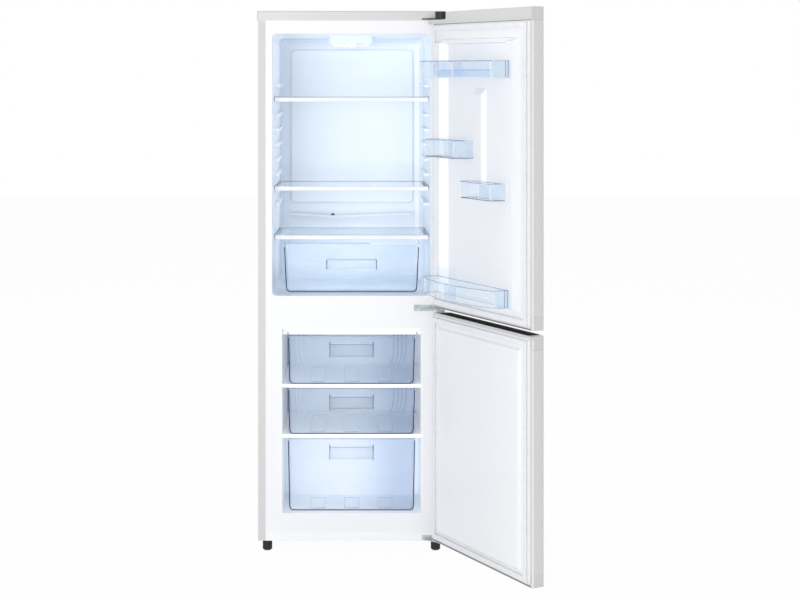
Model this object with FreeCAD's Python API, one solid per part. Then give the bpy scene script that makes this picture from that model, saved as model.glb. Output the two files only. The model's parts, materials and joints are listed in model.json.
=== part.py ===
import FreeCAD, Part
import math
import os

# A bottom freezer refrigerator with both doors standing open.
# Millimetres. +Z is up, +X is to the right for someone who faces the open cabinet, and +Y goes into it.
# The origin is on the floor, below the middle of the cabinet's front plane.

V = FreeCAD.Vector
UP = V(0, 0, 1)
INWARD = V(0, 1, 0)
NEAR = 0.01  # how close an edge lies to a plane that it is picked by

# Cabinet, from the floor up
CABINET_WIDTH = 545.0
CABINET_DEPTH = 495.0
FLOOR_GAP = 31.0  # under the cabinet
FREEZER_BASE = 80.0  # cabinet bottom to freezer floor
FREEZER_HEIGHT = 538.0
MULLION_HEIGHT = 96.0
FRIDGE_HEIGHT = 765.0
ROOF_HEIGHT = 66.0
SHEET = 1.0  # steel sheet of the panels and door skins
LINER_WALL = 2.0
SIDE_FLANGE = 22.0  # front return of a side panel
REAR_FLANGE = 15.0
COVER_HEIGHT = 28.0
COVER_OVERHANG = 3.0
COVER_WALL = 5.0
COVER_TOP = 3.0
COVER_ROUND = 2.4
RAIL_HEIGHT = 26.0
RAIL_DEPTH = 40.0
LINER_JOINT = 19.0  # freezer ceiling to the joint between the two liners

# Fridge compartment
FRIDGE_WALL = 40.5
FRIDGE_DEPTH = 430.0
FRIDGE_DRAFT = 8.0
FRIDGE_CORNER = 14.0
FRIDGE_BACK_RADIUS = 26.0
RIB_COUNT = 9
RIB_PITCH = 44.0
RIB_FIRST = 264.0  # fridge floor to the top of the lowest rib
RIB_REACH = 8.0
RIB_THICKNESS = 8.0
PANEL_FOOT = 243.0  # fridge floor to the lower edge of the raised back panel
PANEL_PROUD = 3.0
PANEL_MARGIN = 34.0
GUTTER_LOW = 194.0  # fridge floor to the gutter's lowest point
GUTTER_RISE = 9.0
GUTTER_REACH = 14.0
GUTTER_THICKNESS = 4.0
DRAIN_X = -60.0
DRAIN_RADIUS = 5.0
DRAIN_WALL = 1.5

# Shelves
SHELF_FRONT = 90.0
SHELF_DEPTH = 305.0
SHELF_CLEARANCE = 1.5
GLASS_SETBACK = 3.0  # trim's front to the glass
GLASS_THICKNESS = 4.0
TRIM_HEIGHT = 12.0
TRIM_DEPTH = 14.0
TRIM_LIP = 1.0  # trim over the glass
TRIM_CORNER = 3.0
TRIM_ROUND = 1.5
UPPER_SHELF_RIB = 7
MIDDLE_SHELF_RIB = 1
CRISPER_COVER_HEIGHT = 163.0  # fridge floor to the underside of the crisper's glass

# Freezer compartment
FREEZER_WALL = 69.5
FREEZER_DEPTH = 400.0
FREEZER_CORNER = 6.0
STEP_HEIGHT = 214.0  # the floor behind the lower drawer steps up over the machine room
STEP_DEPTH = 228.0
MACHINE_ROOM_FRONT = 285.0
MACHINE_ROOM_HEIGHT = 240.0
MIDDLE_BAY = 137.0
EVAPORATOR_SHELF = 10.0
EVAPORATOR_FRONT = 30.0
EVAPORATOR_PLATE = 2.0
EVAPORATOR_TUBE = 3.5  # tube radius
EVAPORATOR_RUNS = 8
TOP_TRIM_HEIGHT = 21.0
STRIP_ROUND = 2.0

# Drawers and crisper
RUNNING_GAP = 0.3
DRAWER_HEADROOM = 3.0
DRAWER_FRONT = 32.0
DRAWER_DEPTH = 315.0
LOWER_DRAWER_DEPTH = 180.0
DRAWER_SIDE_GAP = 16.0
DRAWER_TAPER = 4.0
DRAWER_WALL = 2.5
DRAWER_CORNER = 10.0
UPPER_DRAWER_HEIGHT = 141.0
DRAWER_GRIP_WIDTH = 125.0
DRAWER_GRIP_HEIGHT = 34.0
DRAWER_GRIP_DROP = 26.0  # rim to the top of the grip
CRISPER_SIDE_GAP = 31.0
CRISPER_TAPER = 6.0
CRISPER_DEPTH = 296.0
CRISPER_HEIGHT = 145.0
CRISPER_WALL = 2.5
CRISPER_GRIP_WIDTH = 145.0
CRISPER_GRIP_HEIGHT = 28.0
CRISPER_GRIP_DROP = 50.0
GRIP_DEPTH = 22.0
CHANNEL_WIDTH = 44.0
CHANNEL_HEIGHT = 3.0
CHANNEL_PITCH = 100.0

# Ceiling unit
UNIT_WIDTH = 140.0
UNIT_FRONT = 190.0
UNIT_DEPTH = 120.0
UNIT_HEIGHT = 20.0
UNIT_CORNER = 18.0
UNIT_WALL = 2.5
LENS_DROP = 10.0
LENS_WALL = 1.5
LENS_SLOPE = 9.0
LENS_FRONT = 50.0  # from the unit's front
KNOB_RADIUS = 17.0
KNOB_HEIGHT = 9.0
KNOB_STEM = 4.0
KNOB_ROUND = 1.5
KNOB_FLUTES = 18
KNOB_FLUTE = 0.9
KNOB_BAR_WIDTH = 5.0
KNOB_BAR_HEIGHT = 5.0
KNOB_BAR_MARGIN = 3.0
KNOB_SETBACK = 24.0
BULB_RADIUS = 7.0
BULB_LENGTH = 44.0
BULB_ROUND = 5.6
SOCKET_RADIUS = 5.6

# Door switch in the fridge liner's flange, over the gasket and near the top hinge
SWITCH_ABOVE_CEILING = 29.5  # fridge ceiling to the plunger
SWITCH_INSET = 6.0  # opening's side to the plunger
SWITCH_WIDTH = 13.0
SWITCH_HEIGHT = 14.0
SWITCH_DEPTH = 30.0
PLUNGER_ROUND = 1.5
PLUNGER_RADIUS = 2.5
PLUNGER_LENGTH = 32.0

# Doors, drawn closed and then swung open
DOOR_OPEN = 116.0  # degrees
DOOR_THICKNESS = 45.0
DOOR_CROWN = 5.0
DOOR_EDGE_RADIUS = 8.0
DOOR_GASKET_GAP = 12.0
DOOR_CAP_HEIGHT = 36.0
DOOR_CAP_WALL = 2.5
DOOR_BELOW_TOP = 5.0  # cabinet top to the upper door's top
DOOR_ABOVE_BOTTOM = 8.0  # cabinet bottom to the lower door's bottom
DOOR_GAP = 15.0
DOOR_GAP_BELOW_FRIDGE = 29.0  # fridge floor down to the upper door's bottom
LINER_INSET = 8.0
GASKET_WIDTH = 14.0
GASKET_NECK = 6.0
GASKET_FOOT = 3.0
GASKET_HEAD = 5.0
GASKET_MARGIN = 4.3  # liner's edge to the gasket
HINGE_INSET = 12.0  # door's side to the hinge axis
HINGE_BEHIND = 20.0  # door's inner face to the hinge axis
PIN_RADIUS = 4.0
PIN_CLEARANCE = 0.05
PIN_LENGTH = 14.0
BUSH_RADIUS = 9.0
HINGE_PLATE = 3.0
HINGE_ARM = 4.0
HINGE_TAB = 2.0
HINGE_FREE = 2.0  # air between a hinge plate and the door beside it
NOTCH_LENGTH = 75.0
NOTCH_DEPTH = 22.0
HINGE_COVER_RADIUS = 17.5
HINGE_COVER_TOP = 3.0  # below the cabinet's top
HINGE_REACH = 62.0  # a hinge plate's width along X
HINGE_BACK = 70.0  # how far the top plate reaches back over the cabinet
TAB_WIDTH = 58.0
TAB_HEIGHT = 18.0
TAB_X = 182.0
LOW_TAB_HEIGHT = 14.0
SCREW_RADIUS = 2.5
SCREW_HEAD = 4.5
SCREW_HEAD_HEIGHT = 2.0
SCREW_LENGTH = 14.0
SCREW_PITCH = 12.0

# Upper door's liner
DYKE_HEIGHT = 20.0
DYKE_CORNER = 5.0
DYKE_HINGE_SIDE = 41.5  # door's side to the dyke's base
DYKE_HINGE_WIDTH = 49.0
DYKE_HINGE_RISES = (2.0, 18.0, 12.0)  # run of the slope on the hinge side, the free side and the ends
DYKE_FREE_SIDE = 430.0
DYKE_FREE_WIDTH = 51.0
DYKE_FREE_RISES = (12.0, 6.0, 12.0)
DYKE_TOP_BELOW = 18.0  # fridge ceiling down to the dykes
DYKE_BOTTOM_ABOVE = 11.0
DYKE_END_WIDTH = 16.0
RIDGE_SIDE = 250.0
RIDGE_WIDTH = 56.0
RIDGE_HEIGHT = 12.0
RIDGE_RISES = (8.0, 8.0, 20.0)
END_RISES = (12.0, 6.0, 3.0)
LOW_PANEL_RISES = (6.0, 6.0, 6.0)
RIDGE_BOTTOM = 330.0  # fridge floor to the ridge's ends
RIDGE_TOP = 610.0
LUG_WIDTH = 7.0
LUG_REACH = 17.0
LUG_BELOW_RIM = 10.0
LUG_LENGTH = 26.0

# Bins, along the door from its hinge side, and up from the fridge floor
BIN_WALL = 2.2
BIN_CORNER = 7.0
BIN_TAPER = 3.0
TOP_BIN = {"start": 60.0, "length": 400.0, "reach": 78.0, "bottom": 636.0, "height": 48.0}
HINGE_BIN = {"start": 60.0, "length": 168.0, "reach": 62.0, "bottom": 412.0, "height": 50.0}
FREE_BIN = {"start": 267.0, "length": 165.0, "reach": 64.0, "bottom": 307.0, "height": 46.0}
LOW_BIN = {"start": 60.0, "length": 396.0, "reach": 66.0, "bottom": 23.0, "height": 47.0, "bow": 34.0}
BIN_BACK_GAP = 0.4
GUARD_LENGTH = 105.0
GUARD_HEIGHT = 30.0
EGG_COUNT = 6
EGG_PITCH = 42.0
EGG_RADIUS = 17.0
EGG_TRAY_HEIGHT = 20.0
EGG_TRAY_START = 85.0
EGG_TRAY_MARGIN = 3.0

# Lower door's liner
LOW_PANEL_SIDE = 35.0
LOW_PANEL_HEIGHT = 6.0
LOW_PANEL_FREE_SIDE = 55.0
LOW_PANEL_END = 30.0  # door's end to the raised panel
LOW_PANEL_TOP_END = 38.0
GROOVE_INSET = 14.0
GROOVE_WIDTH = 4.0
GROOVE_DEPTH = 1.0

# Feet and rollers
FOOT_RADIUS = 14.0
FOOT_SETBACK = 20.0
FOOT_SIDE = 26.5  # cabinet's side to the foot's axis
FOOT_ROUND = 4.0
STEM_RADIUS = 4.0
STEM_LENGTH = 18.0
STEM_CLEARANCE = 0.05
NUT_RADIUS = 8.0
NUT_HEIGHT = 14.0
ROLLER_RADIUS = 16.0
ROLLER_WIDTH = 18.0
ROLLER_CHAMFER = 1.5
ROLLER_SIDE = 57.0
ROLLER_BACK = 42.0  # cabinet's back to the axle
AXLE_RADIUS = 3.0
AXLE_CLEARANCE = 0.05
EAR_THICKNESS = 2.0
EAR_WIDTH = 24.0
EAR_GAP = 1.0
BASE_FLANGE = 60.0

# Machine room and back
BASE_ABOVE = 2.0  # cabinet bottom to the base plate
COMPRESSOR_X = -60.0
COMPRESSOR_BACK = 102.0  # cabinet's back to the compressor's axis
COMPRESSOR_RADIUS = 68.0
COMPRESSOR_HEIGHT = 120.0
COMPRESSOR_ROUND = 34.0
SEAM_LEVEL = 66.0
SEAM_HEIGHT = 4.0
SEAM_PROUD = 3.0
MOUNT_RADIUS = 12.0
MOUNT_HEIGHT = 18.0
MOUNT_LIP = 6.0
MOUNT_GROOVE = 3.0
MOUNT_SPACING_X = 150.0
MOUNT_SPACING_Y = 110.0
FOOT_PLATE = 3.0
RELAY_WIDTH = 44.0
RELAY_DEPTH = 30.0
RELAY_HEIGHT = 52.0
RELAY_RISE = 30.0  # compressor's underside to the relay
PAN_WIDTH = 150.0
PAN_DEPTH = 110.0
PAN_HEIGHT = 28.0
PAN_WALL = 2.0
PIPE_RADIUS = 3.0
PIPE_BEND = 16.0
PIPE_BACK = 30.0  # cabinet's back to the upright pipes
SUCTION_X = 25.0
CAPILLARY_RADIUS = 1.2
CAPILLARY_OFFSET = 30.0
DRIER_RADIUS = 10.0
DRIER_LENGTH = 90.0
DRIER_X = 150.0
DRIER_ABOVE_BASE = 60.0
DISCHARGE_HEIGHT = 75.0  # compressor's underside to its discharge pipe
SUCTION_HEIGHT = 50.0
COIL_GAP = 20.0  # back panel to the coil's axis
COIL_TUBE = 2.5
COIL_RUNS = 16
COIL_MARGIN = 38.0
COIL_LOW = 60.0  # machine room's ceiling to the lowest run
COIL_HIGH = 90.0  # highest run to the cabinet's top
COIL_WIRES = 22
COIL_WIRE = 0.8
COIL_FIT = 0.02
WIRE_OVERRUN = 12.0
BRACKET_WIDTH = 16.0
BRACKET_HEIGHT = 30.0
GLAND_RADIUS = 9.0
GLAND_LIP = 2.0
GLAND_BORE = 4.0
GLAND_LENGTH = 16.0
GLAND_X = 190.0
GLAND_HEIGHT = 40.0

# Levels and places that follow from the sizes above
CABINET_BOTTOM = FLOOR_GAP
FREEZER_FLOOR = CABINET_BOTTOM + FREEZER_BASE
FREEZER_CEILING = FREEZER_FLOOR + FREEZER_HEIGHT
FRIDGE_FLOOR = FREEZER_CEILING + MULLION_HEIGHT
FRIDGE_CEILING = FRIDGE_FLOOR + FRIDGE_HEIGHT
CABINET_TOP = FRIDGE_CEILING + ROOF_HEIGHT
PANEL_TOP = CABINET_TOP - COVER_HEIGHT
LINER_SPLIT = FREEZER_CEILING + LINER_JOINT
HALF_WIDTH = CABINET_WIDTH / 2
FLANGE_EDGE = HALF_WIDTH - SIDE_FLANGE
FRIDGE_HALF = HALF_WIDTH - FRIDGE_WALL
FREEZER_HALF = HALF_WIDTH - FREEZER_WALL
ROOM_CEILING = CABINET_BOTTOM + MACHINE_ROOM_HEIGHT
STEP_LEVEL = FREEZER_FLOOR + STEP_HEIGHT
UPPER_EVAPORATOR = STEP_LEVEL + EVAPORATOR_SHELF + MIDDLE_BAY
INNER_FACE = -DOOR_GASKET_GAP
HINGE_X = HALF_WIDTH - HINGE_INSET
HINGE_Y = INNER_FACE - HINGE_BEHIND
UPPER_DOOR = (FRIDGE_FLOOR - DOOR_GAP_BELOW_FRIDGE, CABINET_TOP - DOOR_BELOW_TOP)
LOWER_DOOR = (CABINET_BOTTOM + DOOR_ABOVE_BOTTOM, UPPER_DOOR[0] - DOOR_GAP)
NOTCH_LEVEL = UPPER_DOOR[1] - NOTCH_DEPTH
COVER_HALF = HALF_WIDTH + COVER_OVERHANG
BASE_LEVEL = CABINET_BOTTOM + BASE_ABOVE
BASE_TOP = BASE_LEVEL + SHEET
COMPRESSOR_Y = CABINET_DEPTH - COMPRESSOR_BACK
COMPRESSOR_BOTTOM = BASE_TOP + MOUNT_HEIGHT + FOOT_PLATE
COMPRESSOR_TOP = COMPRESSOR_BOTTOM + COMPRESSOR_HEIGHT
ROLLER_Y = CABINET_DEPTH - ROLLER_BACK
SWITCH_X = FRIDGE_HALF - SWITCH_INSET
SWITCH_Z = FRIDGE_CEILING + SWITCH_ABOVE_CEILING
COIL_Y = CABINET_DEPTH + COIL_GAP
PIPE_Y = CABINET_DEPTH - PIPE_BACK
PLUNGER_PROUD = DOOR_GASKET_GAP - RUNNING_GAP
HINGE_NOSE = HINGE_INSET - SHEET
PLATE_RIGHT = HALF_WIDTH - COVER_WALL
PLATE_LEFT = PLATE_RIGHT - HINGE_REACH


# Shapes that the pieces are made of


def block(x0, x1, y0, y1, z0, z1):
    return Part.makeBox(x1 - x0, y1 - y0, z1 - z0, V(x0, y0, z0))


def rod(radius, start, end):
    return Part.makeCylinder(radius, (end - start).Length, start, end - start)


def joined(first, *others):
    return first.fuse(list(others)).removeSplitter()


def rounded_wire(x0, x1, y0, y1, radius):
    """A rounded rectangle in the XY plane, as four lines and four arcs."""
    bulge = radius * (1 - math.sqrt(0.5))
    corners = [(x1, y0, -1, 1), (x1, y1, -1, -1), (x0, y1, 1, -1), (x0, y0, 1, 1)]
    edges = []
    previous = V(x0 + radius, y0)
    for place, (x, y, inward_x, inward_y) in enumerate(corners):
        along_x = V(x + inward_x * radius, y)
        along_y = V(x, y + inward_y * radius)
        middle = V(x + inward_x * bulge, y + inward_y * bulge)
        start, end = (along_x, along_y) if place % 2 == 0 else (along_y, along_x)
        edges.append(Part.LineSegment(previous, start).toShape())
        edges.append(Part.Arc(start, middle, end).toShape())
        previous = end
    return Part.Wire(edges)


def lifted(wire, height):
    moved = wire.copy()
    moved.translate(V(0, 0, height))
    return moved


def stood(shape):
    """A shape drawn on the XY plane, turned so that its Y runs up and its height runs inward (+Y)."""
    turned = shape.copy()
    turned.rotate(V(0, 0, 0), V(1, 0, 0), 90)
    return turned.mirror(V(0, 0, 0), INWARD)


def slab(x0, x1, y0, y1, z0, z1, radius):
    """A plate with rounded corners and its thickness along Z."""
    face = Part.Face(lifted(rounded_wire(x0, x1, y0, y1, radius), z0))
    return face.extrude(V(0, 0, z1 - z0))


def panel(x0, x1, y0, y1, z0, z1, radius):
    """A plate with rounded corners and its thickness along Y."""
    return stood(slab(x0, x1, z0, z1, y0, y1, radius))


def loft(wires):
    return Part.makeLoft(wires, True, True)


def prism(points, z0, z1):
    """A solid over a polygon in the XY plane."""
    corners = [V(x, y, z0) for x, y in points]
    return Part.Face(Part.makePolygon(corners + corners[:1])).extrude(V(0, 0, z1 - z0))


def band(points, thickness, y0, y1):
    """A flat strip that follows points of the XZ plane, with its width along Y."""
    above = [(x, z + thickness) for x, z in reversed(points)]
    return stood(prism(points + above, y0, y1))


def ring(outer, inner, z0, z1):
    """A rectangular frame in the XZ plane; outer and inner are x0, x1, z0, z1, and z0, z1 here run along Y."""
    return block(outer[0], outer[1], z0, z1, outer[2], outer[3]).cut(
        block(inner[0], inner[1], z0, z1, inner[2], inner[3])
    )


def pipe(points, radius, bend):
    """A round tube along straight runs joined by tangent arcs."""
    edges = []
    start = points[0]
    for before, corner, after in zip(points, points[1:], points[2:]):
        into = (corner - before).normalize()
        out = (after - corner).normalize()
        turn = into.getAngle(out)
        cut = bend * math.tan(turn / 2)
        first = corner - into * cut
        last = corner + out * cut
        towards = (out - into).normalize()
        middle = corner + towards * (bend / math.cos(turn / 2) - bend)
        edges.append(Part.LineSegment(start, first).toShape())
        edges.append(Part.Arc(first, middle, last).toShape())
        start = last
    edges.append(Part.LineSegment(start, points[-1]).toShape())
    section = Part.Wire(Part.makeCircle(radius, points[0], points[1] - points[0]))
    return Part.Wire(edges).makePipeShell([section], True, False)


def opened(shape):
    """A door piece that is drawn closed, swung to where the door stands."""
    turned = shape.copy()
    turned.rotate(V(HINGE_X, HINGE_Y, 0), UP, DOOR_OPEN)
    return turned


def keep(name, shape):
    """Writes one sub-part and prints what it holds."""
    shape.exportStep("parts/" + name + ".step")
    print(f"{name:24s} solids {len(shape.Solids)}  litres {shape.Volume / 1e6:8.4f}  valid {shape.isValid()}")


# Cabinet


def tub(half, floor, ceiling, depth, draft, corner, back_radius, grow):
    """A drafted hollow that opens at the front plane, as a solid; grow is the wall added all round."""
    rounding = [math.radians(angle) for angle in (0, 30, 60, 90)]
    wires = [rounded_wire(-half - grow, half + grow, floor - grow, ceiling + grow, corner + grow)]
    for angle in rounding:
        inset = back_radius * (1 - math.cos(angle))
        share = (depth - back_radius) / depth
        side = half - draft * share - inset + grow
        low = floor + inset - grow
        high = ceiling - draft * share - inset + grow
        level = depth - back_radius + back_radius * math.sin(angle) + grow * math.sin(angle)
        wires.append(lifted(rounded_wire(-side, side, low, high, corner + grow), level))
    return stood(loft(wires))


def fridge_tub(grow):
    return tub(
        FRIDGE_HALF, FRIDGE_FLOOR, FRIDGE_CEILING, FRIDGE_DEPTH, FRIDGE_DRAFT, FRIDGE_CORNER, FRIDGE_BACK_RADIUS, grow
    )


def freezer_tub(grow):
    lower = panel(
        -FREEZER_HALF - grow, FREEZER_HALF + grow, 0, STEP_DEPTH + grow,
        FREEZER_FLOOR - grow, FREEZER_CEILING + grow, FREEZER_CORNER + grow,
    )
    upper = panel(
        -FREEZER_HALF - grow, FREEZER_HALF + grow, 0, FREEZER_DEPTH + grow,
        STEP_LEVEL - grow, FREEZER_CEILING + grow, FREEZER_CORNER + grow,
    )
    return joined(lower, upper)


def fridge_fittings():
    """What the fridge liner carries inside: shelf ribs, ledges, the raised back panel and the drain gutter."""
    inner = FRIDGE_HALF - FRIDGE_DRAFT - RIB_REACH
    back = SHELF_FRONT + SHELF_DEPTH
    tops = [FRIDGE_FLOOR + RIB_FIRST + RIB_PITCH * count for count in range(RIB_COUNT)]
    tops.append(FRIDGE_FLOOR + CRISPER_COVER_HEIGHT)
    pieces = []
    for top in tops:
        for side in (-1, 1):
            low_x, high_x = sorted((side * inner, side * (FRIDGE_HALF + LINER_WALL / 2)))
            rib = block(low_x, high_x, SHELF_FRONT + TRIM_DEPTH, back, top - RIB_THICKNESS, top)
            pieces.append(rib)
    wall = FRIDGE_DEPTH + LINER_WALL / 2
    flat = FRIDGE_HALF - FRIDGE_DRAFT - PANEL_MARGIN
    pieces.append(
        panel(
            -flat, flat, FRIDGE_DEPTH - PANEL_PROUD, wall, FRIDGE_FLOOR + PANEL_FOOT,
            FRIDGE_CEILING - FRIDGE_DRAFT - PANEL_MARGIN, FRIDGE_CORNER,
        )
    )
    low = FRIDGE_FLOOR + GUTTER_LOW
    line = [(-flat, low + GUTTER_RISE), (DRAIN_X, low), (flat, low + GUTTER_RISE)]
    shelf = band(line, GUTTER_THICKNESS, FRIDGE_DEPTH - GUTTER_REACH, wall)
    lip = band(line, GUTTER_THICKNESS * 2, FRIDGE_DEPTH - GUTTER_REACH - LINER_WALL, FRIDGE_DEPTH - GUTTER_REACH)
    pieces.append(joined(shelf, lip))
    return pieces


def drain_level():
    return FRIDGE_FLOOR + GUTTER_LOW + GUTTER_THICKNESS + DRAIN_RADIUS


def drain_path():
    behind = FRIDGE_DEPTH + LINER_WALL + (CABINET_DEPTH - SHEET - FRIDGE_DEPTH - LINER_WALL) / 2
    level = drain_level()
    return [V(DRAIN_X, FRIDGE_DEPTH, level), V(DRAIN_X, behind, level), V(DRAIN_X, behind, ROOM_CEILING - PIPE_BEND)]


def fridge_liner():
    hollow = fridge_tub(0).cut(fridge_fittings())
    flange = block(-FLANGE_EDGE, FLANGE_EDGE, 0, LINER_WALL, LINER_SPLIT, PANEL_TOP)
    outer = joined(fridge_tub(LINER_WALL), flange)
    drain = rod(DRAIN_RADIUS + DRAIN_WALL, drain_path()[0], V(DRAIN_X, CABINET_DEPTH, drain_level()))
    plunger = rod(PLUNGER_RADIUS + RUNNING_GAP, V(SWITCH_X, -1, SWITCH_Z), V(SWITCH_X, LINER_WALL + 1, SWITCH_Z))
    return outer.cut([hollow, drain, plunger] + screw_shanks())


def freezer_liner():
    flange = block(-FLANGE_EDGE, FLANGE_EDGE, 0, LINER_WALL, CABINET_BOTTOM + RAIL_HEIGHT, LINER_SPLIT)
    return joined(freezer_tub(LINER_WALL), flange).cut(freezer_tub(0))


def side_panel(side):
    """A sheet folded inward at the front and at the back; side is -1 on the left and 1 on the right."""
    edge = side * HALF_WIDTH
    wall = block(*sorted((edge, edge - side * SHEET)), 0, CABINET_DEPTH, CABINET_BOTTOM, PANEL_TOP)
    front = block(*sorted((edge, side * FLANGE_EDGE)), 0, SHEET, CABINET_BOTTOM, PANEL_TOP)
    rear_edge = edge - side * REAR_FLANGE
    rear = block(*sorted((edge, rear_edge)), CABINET_DEPTH - SHEET, CABINET_DEPTH, CABINET_BOTTOM, PANEL_TOP)
    return joined(wall, front, rear)


def top_cover():
    outer = slab(-COVER_HALF, COVER_HALF, 0, CABINET_DEPTH, PANEL_TOP, CABINET_TOP, COVER_WALL)
    ends = [edge for edge in outer.Edges if edge.BoundBox.ZMin > CABINET_TOP - NEAR]
    outer = outer.makeFillet(COVER_ROUND, ends)
    inside = block(
        -COVER_HALF + COVER_WALL, COVER_HALF - COVER_WALL, COVER_WALL, CABINET_DEPTH - COVER_WALL,
        PANEL_TOP, CABINET_TOP - COVER_TOP,
    )
    level = NOTCH_LEVEL + HINGE_FREE
    slot = block(
        PLATE_LEFT - RUNNING_GAP, PLATE_RIGHT + RUNNING_GAP, -1, COVER_WALL + 1,
        level - RUNNING_GAP, level + HINGE_PLATE + RUNNING_GAP,
    )
    return outer.cut([inside, slot])


def back_panel():
    edge = HALF_WIDTH - REAR_FLANGE
    return block(-edge, edge, CABINET_DEPTH - SHEET, CABINET_DEPTH, ROOM_CEILING, PANEL_TOP)


def machine_room_panel():
    """The sheet that closes the foam below and around the machine room."""
    edge = HALF_WIDTH - SHEET
    bottom = block(-edge, edge, RAIL_DEPTH, MACHINE_ROOM_FRONT, CABINET_BOTTOM, CABINET_BOTTOM + SHEET)
    riser = block(-edge, edge, MACHINE_ROOM_FRONT - SHEET, MACHINE_ROOM_FRONT, CABINET_BOTTOM, ROOM_CEILING)
    ceiling = block(
        -edge, edge, MACHINE_ROOM_FRONT - SHEET, CABINET_DEPTH - SHEET, ROOM_CEILING - SHEET, ROOM_CEILING
    )
    centre = drain_path()[1]
    above = V(DRAIN_X, centre.y, ROOM_CEILING + SHEET)
    hole = rod(DRAIN_RADIUS + DRAIN_WALL, above, above - UP * 3 * SHEET)
    return joined(bottom, riser, ceiling).cut(hole)


def front_rail():
    plate = block(-FLANGE_EDGE, FLANGE_EDGE, 0, LINER_WALL, CABINET_BOTTOM, CABINET_BOTTOM + RAIL_HEIGHT)
    edge = HALF_WIDTH - SHEET
    shelf = block(-edge, edge, SHEET, RAIL_DEPTH, CABINET_BOTTOM, CABINET_BOTTOM + LINER_WALL)
    nuts, bores = [], []
    for side in (-1, 1):
        centre = foot_centre(side)
        nuts.append(rod(NUT_RADIUS, centre + UP * FLOOR_GAP, centre + UP * (FLOOR_GAP + NUT_HEIGHT)))
        bores.append(rod(STEM_RADIUS + STEM_CLEARANCE, centre, centre + UP * (FLOOR_GAP + NUT_HEIGHT + 1)))
    return joined(plate, shelf, *nuts).cut(bores + screw_shanks())


def foot_centre(side):
    return V(side * (HALF_WIDTH - FOOT_SIDE), FOOT_SETBACK, 0)


def cabinet_foam(taken):
    """The insulation that fills what the panels and liners leave; taken is what lies inside it."""
    edge = HALF_WIDTH - SHEET
    body = block(-edge, edge, SHEET, CABINET_DEPTH - SHEET, CABINET_BOTTOM + SHEET, PANEL_TOP)
    cap_edge = COVER_HALF - COVER_WALL
    head = block(
        -cap_edge, cap_edge, COVER_WALL, CABINET_DEPTH - COVER_WALL, PANEL_TOP, CABINET_TOP - COVER_TOP
    )
    room = block(-edge, edge, MACHINE_ROOM_FRONT - SHEET, CABINET_DEPTH, 0, ROOM_CEILING)
    flange = block(-FLANGE_EDGE, FLANGE_EDGE, 0, LINER_WALL, 0, PANEL_TOP)
    rail = block(-edge, edge, 0, RAIL_DEPTH, 0, CABINET_BOTTOM + LINER_WALL)
    wells = [
        rod(NUT_RADIUS, foot_centre(side), foot_centre(side) + UP * (FLOOR_GAP + STEM_LENGTH + HINGE_FREE))
        for side in (-1, 1)
    ]
    cuts = [room, flange, rail, fridge_tub(LINER_WALL), freezer_tub(LINER_WALL)]
    return joined(body, head).cut(cuts + wells + taken)


def fridge_evaporator():
    """The cold plate that is foamed in behind the fridge's back wall, with its tube."""
    y = FRIDGE_DEPTH + LINER_WALL
    half = FRIDGE_HALF - FRIDGE_DRAFT - PANEL_MARGIN
    low = FRIDGE_FLOOR + PANEL_FOOT
    high = FRIDGE_CEILING - FRIDGE_DRAFT - PANEL_MARGIN - FRIDGE_CORNER
    plate = block(-half, half, y, y + EVAPORATOR_PLATE, low, high)
    runs = serpentine(half - PIPE_BEND, low + PIPE_BEND, high - PIPE_BEND, EVAPORATOR_RUNS)
    depth = y + EVAPORATOR_PLATE + EVAPORATOR_TUBE - 0.5
    coil = pipe([V(x, depth, z) for x, z in runs], EVAPORATOR_TUBE, PIPE_BEND)
    return joined(plate, coil)


def serpentine(half, low, high, runs):
    """Corner points of a tube that runs to and fro across, climbing from low to high."""
    points = []
    pitch = (high - low) / (runs - 1)
    for run in range(runs):
        level = low + pitch * run
        ends = (-half, half) if run % 2 == 0 else (half, -half)
        points += [(ends[0], level), (ends[1], level)]
    return points


def drain_tube():
    path = drain_path()
    outer = pipe(path, DRAIN_RADIUS + DRAIN_WALL, PIPE_BEND)
    inner = pipe(path, DRAIN_RADIUS, PIPE_BEND)
    return outer.cut(inner)


# Ceiling unit and door switch


def unit_level():
    """The ceiling's height at the unit's back, where the drafted ceiling is lowest over it."""
    share = (UNIT_FRONT + UNIT_DEPTH) / FRIDGE_DEPTH
    return FRIDGE_CEILING - FRIDGE_DRAFT * share


def unit_bottom():
    return unit_level() - UNIT_HEIGHT


def control_housing():
    half = UNIT_WIDTH / 2
    back = UNIT_FRONT + UNIT_DEPTH
    body = slab(-half, half, UNIT_FRONT, back, unit_bottom(), FRIDGE_CEILING, UNIT_CORNER)
    body = body.common(fridge_tub(0))
    lamp_room = slab(
        -half + 2 * UNIT_WALL, half - 2 * UNIT_WALL, UNIT_FRONT + LENS_FRONT, back - 2 * UNIT_WALL,
        unit_bottom(), unit_level() - UNIT_WALL, UNIT_CORNER - 2 * UNIT_WALL,
    )
    centre = knob_centre()
    stem_hole = rod(KNOB_STEM + STEM_CLEARANCE, centre, centre + UP * (UNIT_HEIGHT - UNIT_WALL))
    return body.cut([lamp_room, stem_hole])


def knob_centre():
    return V(0, UNIT_FRONT + KNOB_SETBACK, unit_bottom())


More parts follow.
